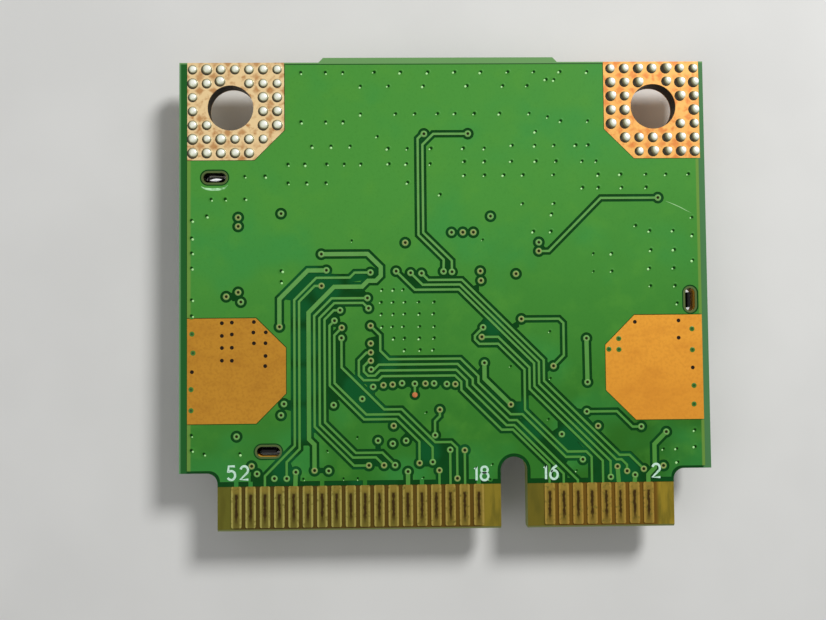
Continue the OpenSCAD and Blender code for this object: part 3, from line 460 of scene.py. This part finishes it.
def contactMaterial(name, marked):
    # Each contact has a paler rim, a painted highlight of its rounded edge, and, in its middle, the long
    # dark mark that a socket spring left
    shader = Shader(name, 0.45, metallic=0.2, specular=0.12)
    step = shader.math("DIVIDE", shader.math("SUBTRACT", shader.along("X"), gold["first x"]), gold["pitch"])
    across = shader.math("SUBTRACT", shader.math("FRACT", shader.math("ADD", step, 0.5)), 0.5)
    side = shader.math("MULTIPLY", shader.math("ABSOLUTE", across), gold["pitch"])
    place = shader.ramp(shader.along("X"), -10, 9)
    base = shader.mix(place, gold["contact left"], gold["contact"])
    rim = shader.math("MULTIPLY", shader.ramp(side, 0.14, 0.22), 0.75)
    colour = shader.mix(rim, base, shader.mix(place, gold["contact edge highlight left"], gold["contact edge highlight"]))
    headY = gold["head y"]
    head = shader.math("MULTIPLY", shader.ramp(shader.along("Y"), headY - 0.25, headY + 0.1), 0.4)
    colour = shader.mix(head, colour, gold["contact head"])
    colour = wear(shader, colour, gold["contact left"], 0.18, 0.5, 0.8, seed=8)
    if marked:
        waver = shader.math("MULTIPLY", shader.math("SUBTRACT", shader.noise(0.2, 3, seed=11), 0.5), 0.16)
        edge = shader.ramp(shader.math("ADD", side, waver), 0.115, 0.04)
        y = shader.along("Y")
        start = gold["mark from"]
        near = shader.ramp(y, start, start - 0.12)
        ends = shader.math("MULTIPLY", near, shader.ramp(y, start - 2.0, start - 1.2))
        mark = shader.math("MULTIPLY", shader.math("MULTIPLY", edge, ends), 0.95)
        colour = shader.mix(mark, colour, gold["mark"])
    shader.colour(colour)
    shader.bump(shader.noise(0.15, 3, stretch=(1, 0.4, 1)), 0.3, 0.004)
    return shader.material


def simpleMaterial(name, colour, dark, roughness, metallic=0.0, grain=0.2, depth=0.004, stretch=(1, 1, 1)):
    # One colour with darker specks, and a fine grain of the surface
    shader = Shader(name, roughness, metallic=metallic, specular=0.4)
    shader.colour(wear(shader, colour, dark, grain * 2, 0.45, 0.75))
    shader.bump(shader.noise(grain, 3, stretch=stretch), 0.3, depth)
    return shader.material


# Bare laminate: the contact tongue, the sides and the drilled holes that show through the pads, where the
# laminate is painted dark as shade
laminate = {
    "face": (98, 96, 30),
    "face right": (150, 128, 38),
    "dark": (84, 80, 22),
    "between": (68, 50, 8),
    "between right": (98, 64, 12),
    "side": (150, 160, 96),
    "drill shade": (26, 16, 6),
    "tongue y": -10.7,
    "rows": ((-11.8, 1.8), (6.2, 11.8)),   # first and last contact on each side of the notch
    "shaded": (4.5, 5.8),                  # darker margin to the right of the notch
}


def laminateMaterial():
    shader = Shader("bare laminate", 0.5, specular=0.12)
    x = shader.along("X")
    y = shader.along("Y")
    weave = shader.patches(0.4, 3, 0.4, 0.7, 0.6, (1, 0.2, 1))
    across = shader.ramp(x, -12, 13)
    colour = shader.mix(weave, shader.mix(across, laminate["face"], laminate["face right"]), laminate["dark"])
    shaded = shader.math("MULTIPLY", shader.between(x, *laminate["shaded"], 0.2), 0.7)
    colour = shader.mix(shaded, colour, laminate["dark"])
    inRow = shader.math("ADD", *[shader.between(x, first, last, 0.25) for first, last in laminate["rows"]])
    brown = shader.mix(across, laminate["between"], laminate["between right"])
    colour = shader.mix(shader.math("MULTIPLY", inRow, 0.85), colour, brown)
    height = shader.along("Z")
    layers = shader.math("SINE", shader.math("MULTIPLY", height, 40.0))
    layered = shader.math("MULTIPLY", shader.ramp(layers, -0.6, 0.9), 0.35)
    sides = shader.mix(layered, laminate["side"], laminate["dark"])
    colour = shader.mix(shader.ramp(height, boardTop - 0.005, boardTop - 0.012), colour, sides)
    # the laminate at the bottom of the holes in the pads is painted dark: painted shade
    under = shader.math("MULTIPLY", shader.ramp(height, boardTop - 0.012, boardTop - 0.004),
                        shader.ramp(y, laminate["tongue y"], laminate["tongue y"] + 0.1))
    shader.colour(shader.mix(under, colour, laminate["drill shade"]))
    shader.bump(shader.noise(0.25, 3, stretch=(1, 0.3, 1)), 0.3, 0.006)
    return shader.material


def ringMaterial():
    # The floor of the blind dimple in each ring lies lower than its rim and is painted dark, as shade
    shader = Shader("via ring", mask["roughness"], specular=mask["specular"])
    low = shader.ramp(shader.along("Z"), copperTop - 0.004, copperTop - 0.012)
    shader.colour(shader.mix(low, heightMix(shader, mask["track"], mask["track low shaded"]), mask["pit"]))
    return shader.material


# Shield sheet, and the plated slots that its legs stand in
shield = {
    "sheet": (196, 198, 200),
    "sheet dark": (191, 193, 195),
    "roughness": 0.34,
    "metallic": 0.85,
    "leg shade": (16, 15, 14),
    "leg shade roughness": 0.95,
    "slot top": (84, 100, 56),
    "slot wall shade": (18, 13, 6),
    "lit wall": (250, 184, 62),
    "lit x": (14.08, 14.2),           # outer wall of the slot at the right
    "lit y": (-9.1, -9.2),            # lower wall of the slot at the lower left
}


def frameMaterial():
    # Sheet steel, dull and painted almost black where the legs stand in the slots, as shade in the slots
    shader = Shader("shield frame steel", shield["roughness"], metallic=shield["metallic"], specular=0.4)
    sheet = wear(shader, shield["sheet"], shield["sheet dark"], 0.6, 0.45, 0.75)
    inSlot = shader.ramp(shader.along("Z"), boardBottom - 0.1, boardBottom - 0.03)
    shader.colour(shader.mix(inSlot, sheet, shield["leg shade"]))
    clean = shader.math("SUBTRACT", 1.0, inSlot)
    shader.put(shader.math("MULTIPLY", clean, shield["metallic"]), shader.surface.inputs["Metallic"])
    smoother = shader.math("MULTIPLY", clean, shield["leg shade roughness"] - shield["roughness"])
    roughness = shader.math("SUBTRACT", shield["leg shade roughness"], smoother)
    shader.put(roughness, shader.surface.inputs["Roughness"])
    return shader.material


def slotMaterial():
    # Grey-green at the top of the plating, almost black down the wall as painted shade, and bronze as
    # painted light where light reaches the wall
    shader = Shader("slot plating", 0.55, metallic=0.2, specular=0.08)
    x = shader.along("X")
    litRight = shader.ramp(x, *shield["lit x"])
    lower = shader.ramp(shader.along("Y"), *shield["lit y"])
    litLeft = shader.math("MULTIPLY", lower, shader.ramp(x, 0, -1))
    lit = shader.math("ADD", litRight, litLeft, clamp=True)
    wall = shader.mix(lit, shield["slot wall shade"], shield["lit wall"])
    down = shader.ramp(shader.along("Z"), boardTop + 0.005, boardTop - 0.12)
    shader.colour(shader.mix(down, shield["slot top"], wall))
    return shader.material


def toneMaterial(name, base, shades, roughness, metallic=0.0, specular=0.3, lumps=None):
    # Colour moves from the base through the shades as the piece's own tone goes from 0 to 1
    shader = Shader(name, roughness, metallic=metallic, specular=specular)
    tone = shader.add("ShaderNodeAttribute", attribute_name="tone").outputs["Fac"]
    colour = base(shader) if callable(base) else base
    steps = len(shades)
    for k, shade in enumerate(shades):
        colour = shader.mix(shader.ramp(tone, k / steps, (k + 1) / steps), colour, shade)
    shader.colour(colour)
    if lumps:
        shader.bump(shader.noise(lumps, 2), 0.3, lumps * 0.05)
    return shader.material


def dress(material, *names):
    for name in names:
        slots = nodes[name].data.materials
        slots.clear()
        slots.append(material)


shieldSteel = simpleMaterial("shield steel", shield["sheet"], shield["sheet dark"], shield["roughness"],
                             shield["metallic"], 0.3, 0.003, (0.2, 2, 1))
tin = simpleMaterial("tin", (204, 204, 200), (176, 174, 168), 0.35, 0.85, 0.1)
blackPlastic = simpleMaterial("chip black", (38, 38, 41), (30, 30, 33), 0.6, 0.0, 0.12)
dress(laminateMaterial(), "board")
dress(gapMaterial(), "back_mask", "front_mask")
dress(pourMaterial(), "back_ground_copper")
dress(trackMaterial(), "back_tracks")
dress(ringMaterial(), "back_via_rings")
dress(simpleMaterial("test pad copper", (196, 118, 66), (150, 76, 36), 0.5, 0.1, 0.1), "test_pad")
dress(contactMaterial("contact gold with spring marks", True), "back_contacts")
dress(contactMaterial("contact gold", False), "front_contacts")
dress(cornerPadMaterial(), "back_corner_pad_left", "back_corner_pad_right",
      "front_corner_pad_left", "front_corner_pad_right")
dress(sidePadMaterial(), "side_pad_left", "side_pad_right")
dress(slotMaterial(), "slot_plating")
dress(frameMaterial(), "shield_frame")
dress(shieldSteel, "shield_lid", "crystal_lid")
dress(tin, "radio_chip_terminals", "front_end_terminals", "regulator_leads", "memory_leads",
      "inductor_terminals", "capacitor_terminals", "resistor_terminals")
dress(blackPlastic, "radio_chip", "front_end_chip_main", "front_end_chip_aux", "regulator_chip",
      "memory_chip", "power_inductor", "resistors")
dress(simpleMaterial("crystal ceramic", (214, 208, 194), (196, 188, 172), 0.5, 0.0, 0.15), "crystal")
dress(simpleMaterial("capacitor ceramic", (160, 128, 86), (140, 108, 70), 0.5, 0.0, 0.1), "capacitors")
dress(simpleMaterial("connector plastic", (226, 222, 208), (208, 202, 184), 0.45, 0.0, 0.15),
      "antenna_base_main", "antenna_base_aux")
dress(simpleMaterial("connector gold", (214, 172, 92), (188, 144, 66), 0.3, 0.8, 0.1),
      "antenna_shell_main", "antenna_shell_aux", "antenna_pin_main", "antenna_pin_aux")
print("materials ready")


def scatter(places, *salt):
    # A steady number from 0 to 1 for each place: what is behind the point of large |sin(ax + by + salt)|
    uneven = np.array([12.99, 78.23])
    large = 43758.5
    return np.modf(np.abs(np.sin(np.asarray(places, float) @ uneven + sum(salt)) * large))[0]


def spun(name, places, base, profile, sides, material, slot, sizes=None, lean=0.0, leanTurn=0.0, glint=0.0):
    # The profile of (radius, height, tone) rows r, h turned by a about each place px, py of size s:
    # x = px + s r cos a + lean s h cos t, y = py + s r sin a + lean s h sin t, z = base + s h,
    # where t is leanTurn; the tone changes by glint towards t, more where r is larger
    places = np.asarray(places, float)
    radius, height, tone = np.array(profile, float).T
    sizes = np.ones(len(places)) if sizes is None else sizes
    turn = np.arange(sides) * 2 * math.pi / sides
    reach = sizes[:, None, None] * radius[None, :, None]
    rise = (sizes[:, None, None] * height[None, :, None]) * np.ones(sides)
    lean = np.broadcast_to(np.asarray(lean, float).reshape(-1, 1, 1), (len(places), 1, 1))
    x = places[:, 0, None, None] + reach * np.cos(turn) + lean * rise * math.cos(leanTurn)
    y = places[:, 1, None, None] + reach * np.sin(turn) + lean * rise * math.sin(leanTurn)
    z = base + rise
    change = glint * np.cos(turn - leanTurn) * (radius / radius.max())[:, None]
    tones = tone[None, :, None] + change * np.ones_like(x)
    points = np.stack([x, y, z], -1).reshape(-1, 3)
    ring = gridFaces(len(radius), sides, True)
    count = len(radius) * sides
    cap = np.arange(sides) + count - sides
    faces = []
    for start in range(0, len(places) * count, count):
        faces.extend((ring + start).tolist())
        faces.append((cap + start).tolist())
    return meshPiece(name, points, faces, material, slot, True, np.clip(tones, 0, 1))


# Tented vias: the mask sinks a little over each drilled hole of the ground copper, in rows of one height
tentedRows = (
    (12.55, (-8.1, -6.7, -5.7, -3.9, -2.4, -0.85, 0.7, 2.2, 3.75, 5.25, 6.75, 8.3)),
    (11.75, (-4.7, -3.1, -1.1, 1.4, 3.45, 4.85)), (12.1, (5.95, 6.4)),
    (10.15, (-4.7, -2.7, -1.6, -0.3, 0.7, 1.8, 3.25, 4.95)), (9.95, (6.0,)),
    (9.7, (-8.1, -6.7, -5.7, 6.75, 8.3)), (9.1, (5.3,)), (8.85, (-3.75,)),
    (8.3, (-7.5, -6.4, -5.3, 3.95, 5.25, 6.35, 7.6, 8.3)), (8.15, (-3.15, -2.05, -0.7, 1.15, 2.35)),
    (7.27, (-8.85, -7.9, -6.65, -5.65, -4.7, -3.1, -2.1, -0.75)),
    (7.38, (1.2, 2.35, 3.9, 5.3, 6.45, 7.95, 8.75)),
    (6.6, (-11.3, -10.15, 1.2, 2.35, 3.45, 4.55, 6.3, 8.85, 10.15, 11.6, 12.75, 14.05)),
    (6.2, (-8.85, -7.8, -6.7, -2.05)), (5.85, (7.95, 8.85, 10.2, 11.6)), (5.5, (-0.2,)),
    (5.3, (-13.2, -12.4, -11.3)), (4.95, (4.5, 6.3)), (4.35, (-13.45, 6.15)), (4.1, (-14.3, 14.2)),
    (3.65, (10.95,)), (3.35, (5.1, 6.1, 11.75, 13.1)), (3.1, (-14.3, 14.2)), (2.9, (2.2, -5.25)),
    (2.25, (-14.3, 11.8, 13.15)), (2.07, (8.5, 9.55)), (1.65, (14.2,)), (1.4, (-14.3,)),
    (1.2, (-9.25, 11.7, 13.1)), (1.05, (8.5, 9.55)), (0.6, (-9.25,)), (0.2, (11.75, 13.15)),
    (-0.4, (-14.3,)), (-0.8, (13.25,)), (-1.3, (-14.3,)), (-2.35, (5.95,)), (-4.3, (3.7,)),
    (-5.0, (5.95,)), (-6.85, (-1.1,)), (-7.3, (5.8,)), (-8.0, (-14.3, 14.1)), (-8.2, (-5.0,)),
    (-8.85, (-14.3,)), (-8.95, (-6.7, 14.1)), (-9.05, (-13.6, -11.6, 12.3, 13.05)),
    (-9.8, (2.6, 13.1)), (-10.2, (7.35,)), (-10.5, (-8.05, -5.8, -5.0, -1.3)), (-10.65, (2.45,)),
)
# Small vias behind the middle of the radio chip, which hangs under the board
thermalRows = (
    (0.1, (-3.55, -2.9, -2.35)), (-0.62, (-3.6, -2.93, -2.25, -1.47, -0.6)),
    (-1.28, (-3.6, -2.92, -2.27, -1.45, -0.64)), (-2.0, (-3.55, -2.97, -2.35, -1.43, -0.6)),
    (-2.66, (-2.9, -2.3, -1.45, -0.62)), (-3.32, (-2.3, -1.42, -0.67)),
)
tented = {
    "sides": 10,
    "spread": 0.25,          # how much one differs in size from the next
    "among tracks": 0.5,     # strength of those between the tracks, where the others have 1
    "thermal": 0.8,          # strength of those behind the radio chip
    "tracks within": 9,      # most tracks lie within this of the middle line
    "tracks below": 3.2,     # and nearer to the contacts than this
    # radius, height and tone, from the edge of the sunk place to its middle
    "profile": ((0.2, -0.004, 0), (0.16, 0.006, 0), (0.125, 0.018, 0), (0.1, 0.016, 0.3),
                (0.068, 0.006, 0.85), (0.03, 0.002, 1)),
    # a painted glint on the rim, at the lower right near the left side of the card and else at the lower left
    "glint spot": (176, 232, 154),
    "glint spot profile": ((0.062, -0.002, 0.7), (0.05, 0.008, 0.3), (0.022, 0.014, 0)),
    "glint spot reach": 0.112,
    "glint spot turn": {"from": -7.0, "to": -4.0, "left": 305, "right": 222, "spread": 40},
    "glint spot size": {"least": 0.75, "spread": 0.6},
}


def rowPlaces(rows):
    return np.array([(x, y) for y, row in rows for x in row])


def tentedVias():
    rows, thermal = rowPlaces(tentedRows), rowPlaces(thermalRows)
    places = np.concatenate([rows, thermal])
    # those among the tracks are shallower, with smaller painted glints
    among = (np.abs(rows[:, 0]) < tented["tracks within"]) & (rows[:, 1] < tented["tracks below"])
    strength = np.where(among, tented["among tracks"], 1.0)
    strength = np.concatenate([strength, np.full(len(thermal), tented["thermal"])])
    sizes = (1 + tented["spread"] * (scatter(places) - 0.5)) * (0.5 + 0.5 * strength)
    # the middle of each sunk place darkens to the pit colour: painted shade
    shades = (mask["pour low shaded"], mask["pit"])
    material = toneMaterial("mask sunk over a via", pourColour, shades, 0.4, specular=0.05)
    spun("tented_vias", places, copperTop, tented["profile"], tented["sides"], material,
         "mask_over_copper", sizes)
    # pale spots on the rim of each sunk place: painted glints
    turned = tented["glint spot turn"]
    turn = np.interp(places[:, 0], [turned["from"], turned["to"]], [turned["left"], turned["right"]])
    turn = np.radians(turn + turned["spread"] * (scatter(places, 3.0) - 0.5))
    glintSpots = places + tented["glint spot reach"] * np.column_stack([np.cos(turn), np.sin(turn)])
    pale = toneMaterial("painted glint on the mask", tented["glint spot"], (mask["pour"],), 0.3, specular=0.4)
    glintSpotSizes = tented["glint spot size"]["least"] + tented["glint spot size"]["spread"] * scatter(places, 7.0)
    spun("mask_glint_spots", glintSpots, copperTop + 0.012, tented["glint spot profile"], 8, pale, "mask_over_copper",
         glintSpotSizes * strength)


tentedVias()
print("tented vias ready")


# Rims of the open vias, which stand in the rings of the model
rims = {
    "sides": 12,
    "cream": (156, 150, 92),
    "green": (122, 166, 94),
    "hole": (34, 30, 4),
    "cream share": 0.36,
    "floor": 0.025,          # depth of the dimple that each ring of the model has
    "profile": ((0.178, -0.003, 0.5), (0.155, 0.012, 0.3), (0.125, 0.02, 0), (0.105, 0.014, 0),
                (0.092, 0.002, 0.5), (0.08, -0.012, 1), (0.03, -0.016, 1)),
}


def middles(name, low, high, reach):
    # Middles of the groups of a node's points between two heights: each point moves to the mean of the
    # points within reach
    mesh = nodes[name].data
    points = np.empty(len(mesh.vertices) * 3)
    mesh.vertices.foreach_get("co", points)
    points = points.reshape(-1, 3) / mm
    chosen = points[(points[:, 2] > low) & (points[:, 2] < high)][:, :2]
    near = np.hypot(*(chosen[:, None] - chosen[None]).transpose(2, 0, 1)) < reach
    return np.unique((near @ chosen / near.sum(1, keepdims=True)).round(2), axis=0)


def viaRims():
    floor = copperTop - rims["floor"]
    places = middles("back_via_rings", floor - 0.004, floor + 0.004, 0.19)
    creamy = scatter(places, 2.0) < rims["cream share"]
    for label, chosen, colour in (("cream", creamy, rims["cream"]), ("green", ~creamy, rims["green"])):
        # each rim darkens to the hole colour in its middle: painted shade of the open hole
        shades = (mask["track"], rims["hole"])
        material = toneMaterial("via rim " + label, colour, shades, 0.4, specular=0.08)
        spun("via_rims_" + label, places[chosen], copperTop, rims["profile"], rims["sides"], material,
             "via_ring")
    print("open vias found:", len(places))


viaRims()


# Solder bumps on the corner pads, drawn out a little towards one side; their tones paint shade where
# they meet the pad and on the side away from the lean, and a highlight at the top and towards the lean
bumps = {
    "sides": 14,
    "colour": {"left": (246, 247, 234), "right": (255, 255, 248)},
    "shades": ((206, 210, 184), (118, 112, 76), (44, 36, 14)),
    "lean": {"left": 0.45, "right": 1.7},
    "lean turn": {"left": 0.75, "right": 0.42},
    # glint pales the side towards the lean and darkens the other: painted highlight and shade
    "glint": {"left": -0.3, "right": -0.55},
    "spread": 0.22,
    "roughness": 0.3,
    "metallic": 0.35,
    # a thin dark skirt round the foot, then the bump, its tones going from painted shade to painted highlight
    "profile": ((0.298, -0.002, 0.65), (0.28, 0.004, 0.85), (0.258, 0.024, 0.85), (0.228, 0.06, 0.6),
                (0.186, 0.093, 0.34), (0.13, 0.113, 0.16), (0.068, 0.122, 0.05), (0.02, 0.124, 0)),
}


def solderBumps(side):
    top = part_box("solder_bumps_" + side)[1].z / mm
    places = middles("solder_bumps_" + side, top - 0.012, top + 0.01, 0.3)
    print("bumps", side, len(places))
    sizes = 1 + bumps["spread"] * (scatter(places, 5.0) - 0.4)
    leans = bumps["lean"][side] * (0.3 + 0.7 * scatter(places, 9.0))
    material = toneMaterial("solder bump " + side, bumps["colour"][side], bumps["shades"],
                            bumps["roughness"], bumps["metallic"], specular=0.5, lumps=0.12)
    piece = spun("bumps_" + side, places, padTop, bumps["profile"], bumps["sides"], material, "solder",
                 sizes, leans, bumps["lean turn"][side], bumps["glint"][side])
    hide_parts("solder_bumps_" + side)


for side in ("left", "right"):
    solderBumps(side)


# Small round spots of mask on the side pads, darker in the middle as painted shade of the dip
spots = {
    "left": ((-14.28, -2.33), (-14.22, -3.4), (-14.33, -5.45), (-14.33, -6.63)),
    "right": ((14.07, -2.28), (14.07, -3.47), (14.12, -5.5), (14.1, -6.55), (9.25, -2.8), (9.3, -3.4),
              (9.87, -2.8), (9.87, -3.42)),
    "colour": (62, 118, 34),
    "middle": (18, 60, 10),
    "profile": ((0.16, -0.003, 0.2), (0.13, 0.008, 0), (0.09, 0.01, 0.2), (0.04, 0.006, 0.9)),
}


def padSpots(side):
    # the middle darkens to the middle colour: painted shade
    material = toneMaterial("mask spot " + side, spots["colour"], (spots["middle"],), 0.3)
    spun("mask_spots_" + side, spots[side], padTop, spots["profile"], 10, material, "mask_over_copper")


for side in ("left", "right"):
    padSpots(side)
print("bumps and spots ready")


# Pin numbers in white ink
ink = {
    "colour": (200, 232, 214),
    "worn": (150, 200, 160),
    "stroke": 0.135,
    "height": 0.76,
    "width": 0.5,
    "steps": {"5": 0.72, "1": 0.46, "2": 0},   # from the first numeral to the next
    # text, left end and foot
    "numbers": (("52", -12.32, -10.52), ("18", 1.42, -10.7), ("16", 5.34, -10.68), ("2", 11.6, -10.66)),
}


def arc(cx, cy, rx, ry, start, end, count=12):
    # Points of an ellipse from one angle in degrees to another
    turn = np.radians(np.linspace(start, end, count))
    return [(cx + rx * math.cos(t), cy + ry * math.sin(t)) for t in turn]


def numeralStrokes(character):
    # Strokes in a box one wide and one high
    strokes = {
        "1": [[(0.3, 0.82), (0.52, 1.0), (0.52, 0.0)]],
        "2": [arc(0.5, 0.7, 0.42, 0.3, 165, -35) + [(0.06, 0.02), (0.96, 0.02)]],
        "5": [[(0.9, 1.0), (0.2, 1.0), (0.14, 0.56)] + arc(0.48, 0.33, 0.44, 0.33, 125, -150, 16)],
        "6": [[(0.84, 1.0), (0.4, 0.78)] + arc(0.5, 0.32, 0.42, 0.32, 160, 500, 22)],
        "8": [arc(0.5, 0.77, 0.36, 0.23, -90, 270, 18), arc(0.5, 0.28, 0.43, 0.28, 90, 450, 20)],
    }
    return strokes[character]


def inkStroke(path, origin, base):
    # A flat ribbon carried along a path: p(t) plus or minus half the stroke along the path's normal
    p = np.array(path) * [ink["width"], ink["height"]] + origin
    along = np.gradient(p, axis=0)
    along /= np.linalg.norm(along, axis=1, keepdims=True) + 1e-9
    normal = np.stack([along[:, 1], -along[:, 0]], 1)
    half = ink["stroke"] / 2
    rows = [(-half, -0.002), (-half * 0.8, 0.008), (half * 0.8, 0.008), (half, -0.002)]
    lines = [np.column_stack([p + normal * side, np.full(len(p), base + lift)]) for side, lift in rows]
    return np.concatenate(lines), gridFaces(len(rows), len(p))


def pinNumbers():
    points, faces, start = [], [], 0
    for text, left, foot in ink["numbers"]:
        for k, character in enumerate(text):
            for path in numeralStrokes(character):
                origin = (left + k * ink["steps"][text[0]], foot)
                strokePoints, strokeFaces = inkStroke(path, origin, copperTop)
                points.append(strokePoints)
                faces.extend((strokeFaces + start).tolist())
                start += len(strokePoints)
    shader = Shader("white ink", 0.6, specular=0.2)
    shader.colour(wear(shader, ink["colour"], ink["worn"], 0.1, 0.5, 0.75))
    meshPiece("pin_numbers", np.concatenate(points), faces, shader.material, "mask_over_copper")


pinNumbers()


# Small pale marks: the glint of solder in one slot and the lip of the mask under it, both painted
# highlights, and a scratch
marks = {
    "glint": ((-13.3, 6.4), (-12.62, 6.45)),
    "glint width": 0.17,
    "glint depth": 0.12,                      # under the top of the board
    "glint rise": 0.04,
    "glint colour": (250, 250, 252),
    "glint dark": (226, 228, 232),
    "lip": ((-13.75, 6.02), (-13.55, 5.9), (-13.2, 5.86), (-12.8, 5.86), (-12.45, 5.92), (-12.25, 6.1)),
    "lip width": 0.17,
    "lip rise": 0.015,
    "lip highlight colour": (182, 236, 182),
    "scratch": ((12.7, 5.05), (13.45, 4.72), (14.15, 4.35)),
    "scratch width": 0.05,
    "scratch rise": 0.006,
    "scratch colour": (142, 194, 126),
}


def ribbon(name, path, width, base, rise, material, slot):
    # A lens-shaped band along a path: half the width and the rise both follow a sine along its length
    p = np.array(path, float)
    steps = np.linspace(0, len(p) - 1, 5 * len(p))
    p = np.column_stack([np.interp(steps, np.arange(len(p)), p[:, k]) for k in (0, 1)])
    along = np.gradient(p, axis=0)
    along /= np.linalg.norm(along, axis=1, keepdims=True)
    normal = np.stack([along[:, 1], -along[:, 0]], 1)
    fade = np.sin(np.linspace(0.12, math.pi - 0.12, len(p)))
    rows = [np.column_stack([p + normal * (side * width / 2 * fade)[:, None], base + lift * rise * fade])
            for side, lift in ((-1, -0.3), (-0.6, 0.6), (0, 1), (0.6, 0.6), (1, -0.3))]
    meshPiece(name, np.stack(rows).reshape(-1, 3), gridFaces(5, len(p)), material, slot, True)


def smallMarks():
    glint = simpleMaterial("solder glint", marks["glint colour"], marks["glint dark"], 0.3, 0.2)
    ribbon("slot_glint", marks["glint"], marks["glint width"], boardTop - marks["glint depth"],
           marks["glint rise"], glint, "solder")
    lip = simpleMaterial("painted highlight on the lip of the mask", marks["lip highlight colour"], mask["pour"], 0.3)
    ribbon("slot_lip_highlight", marks["lip"], marks["lip width"], copperTop, marks["lip rise"], lip,
           "mask_over_copper")
    scratch = simpleMaterial("scratch in the mask", marks["scratch colour"], mask["pour"], 0.4)
    ribbon("scratch", marks["scratch"], marks["scratch width"], copperTop, marks["scratch rise"], scratch,
           "mask_over_copper")


smallMarks()
print("marks ready")
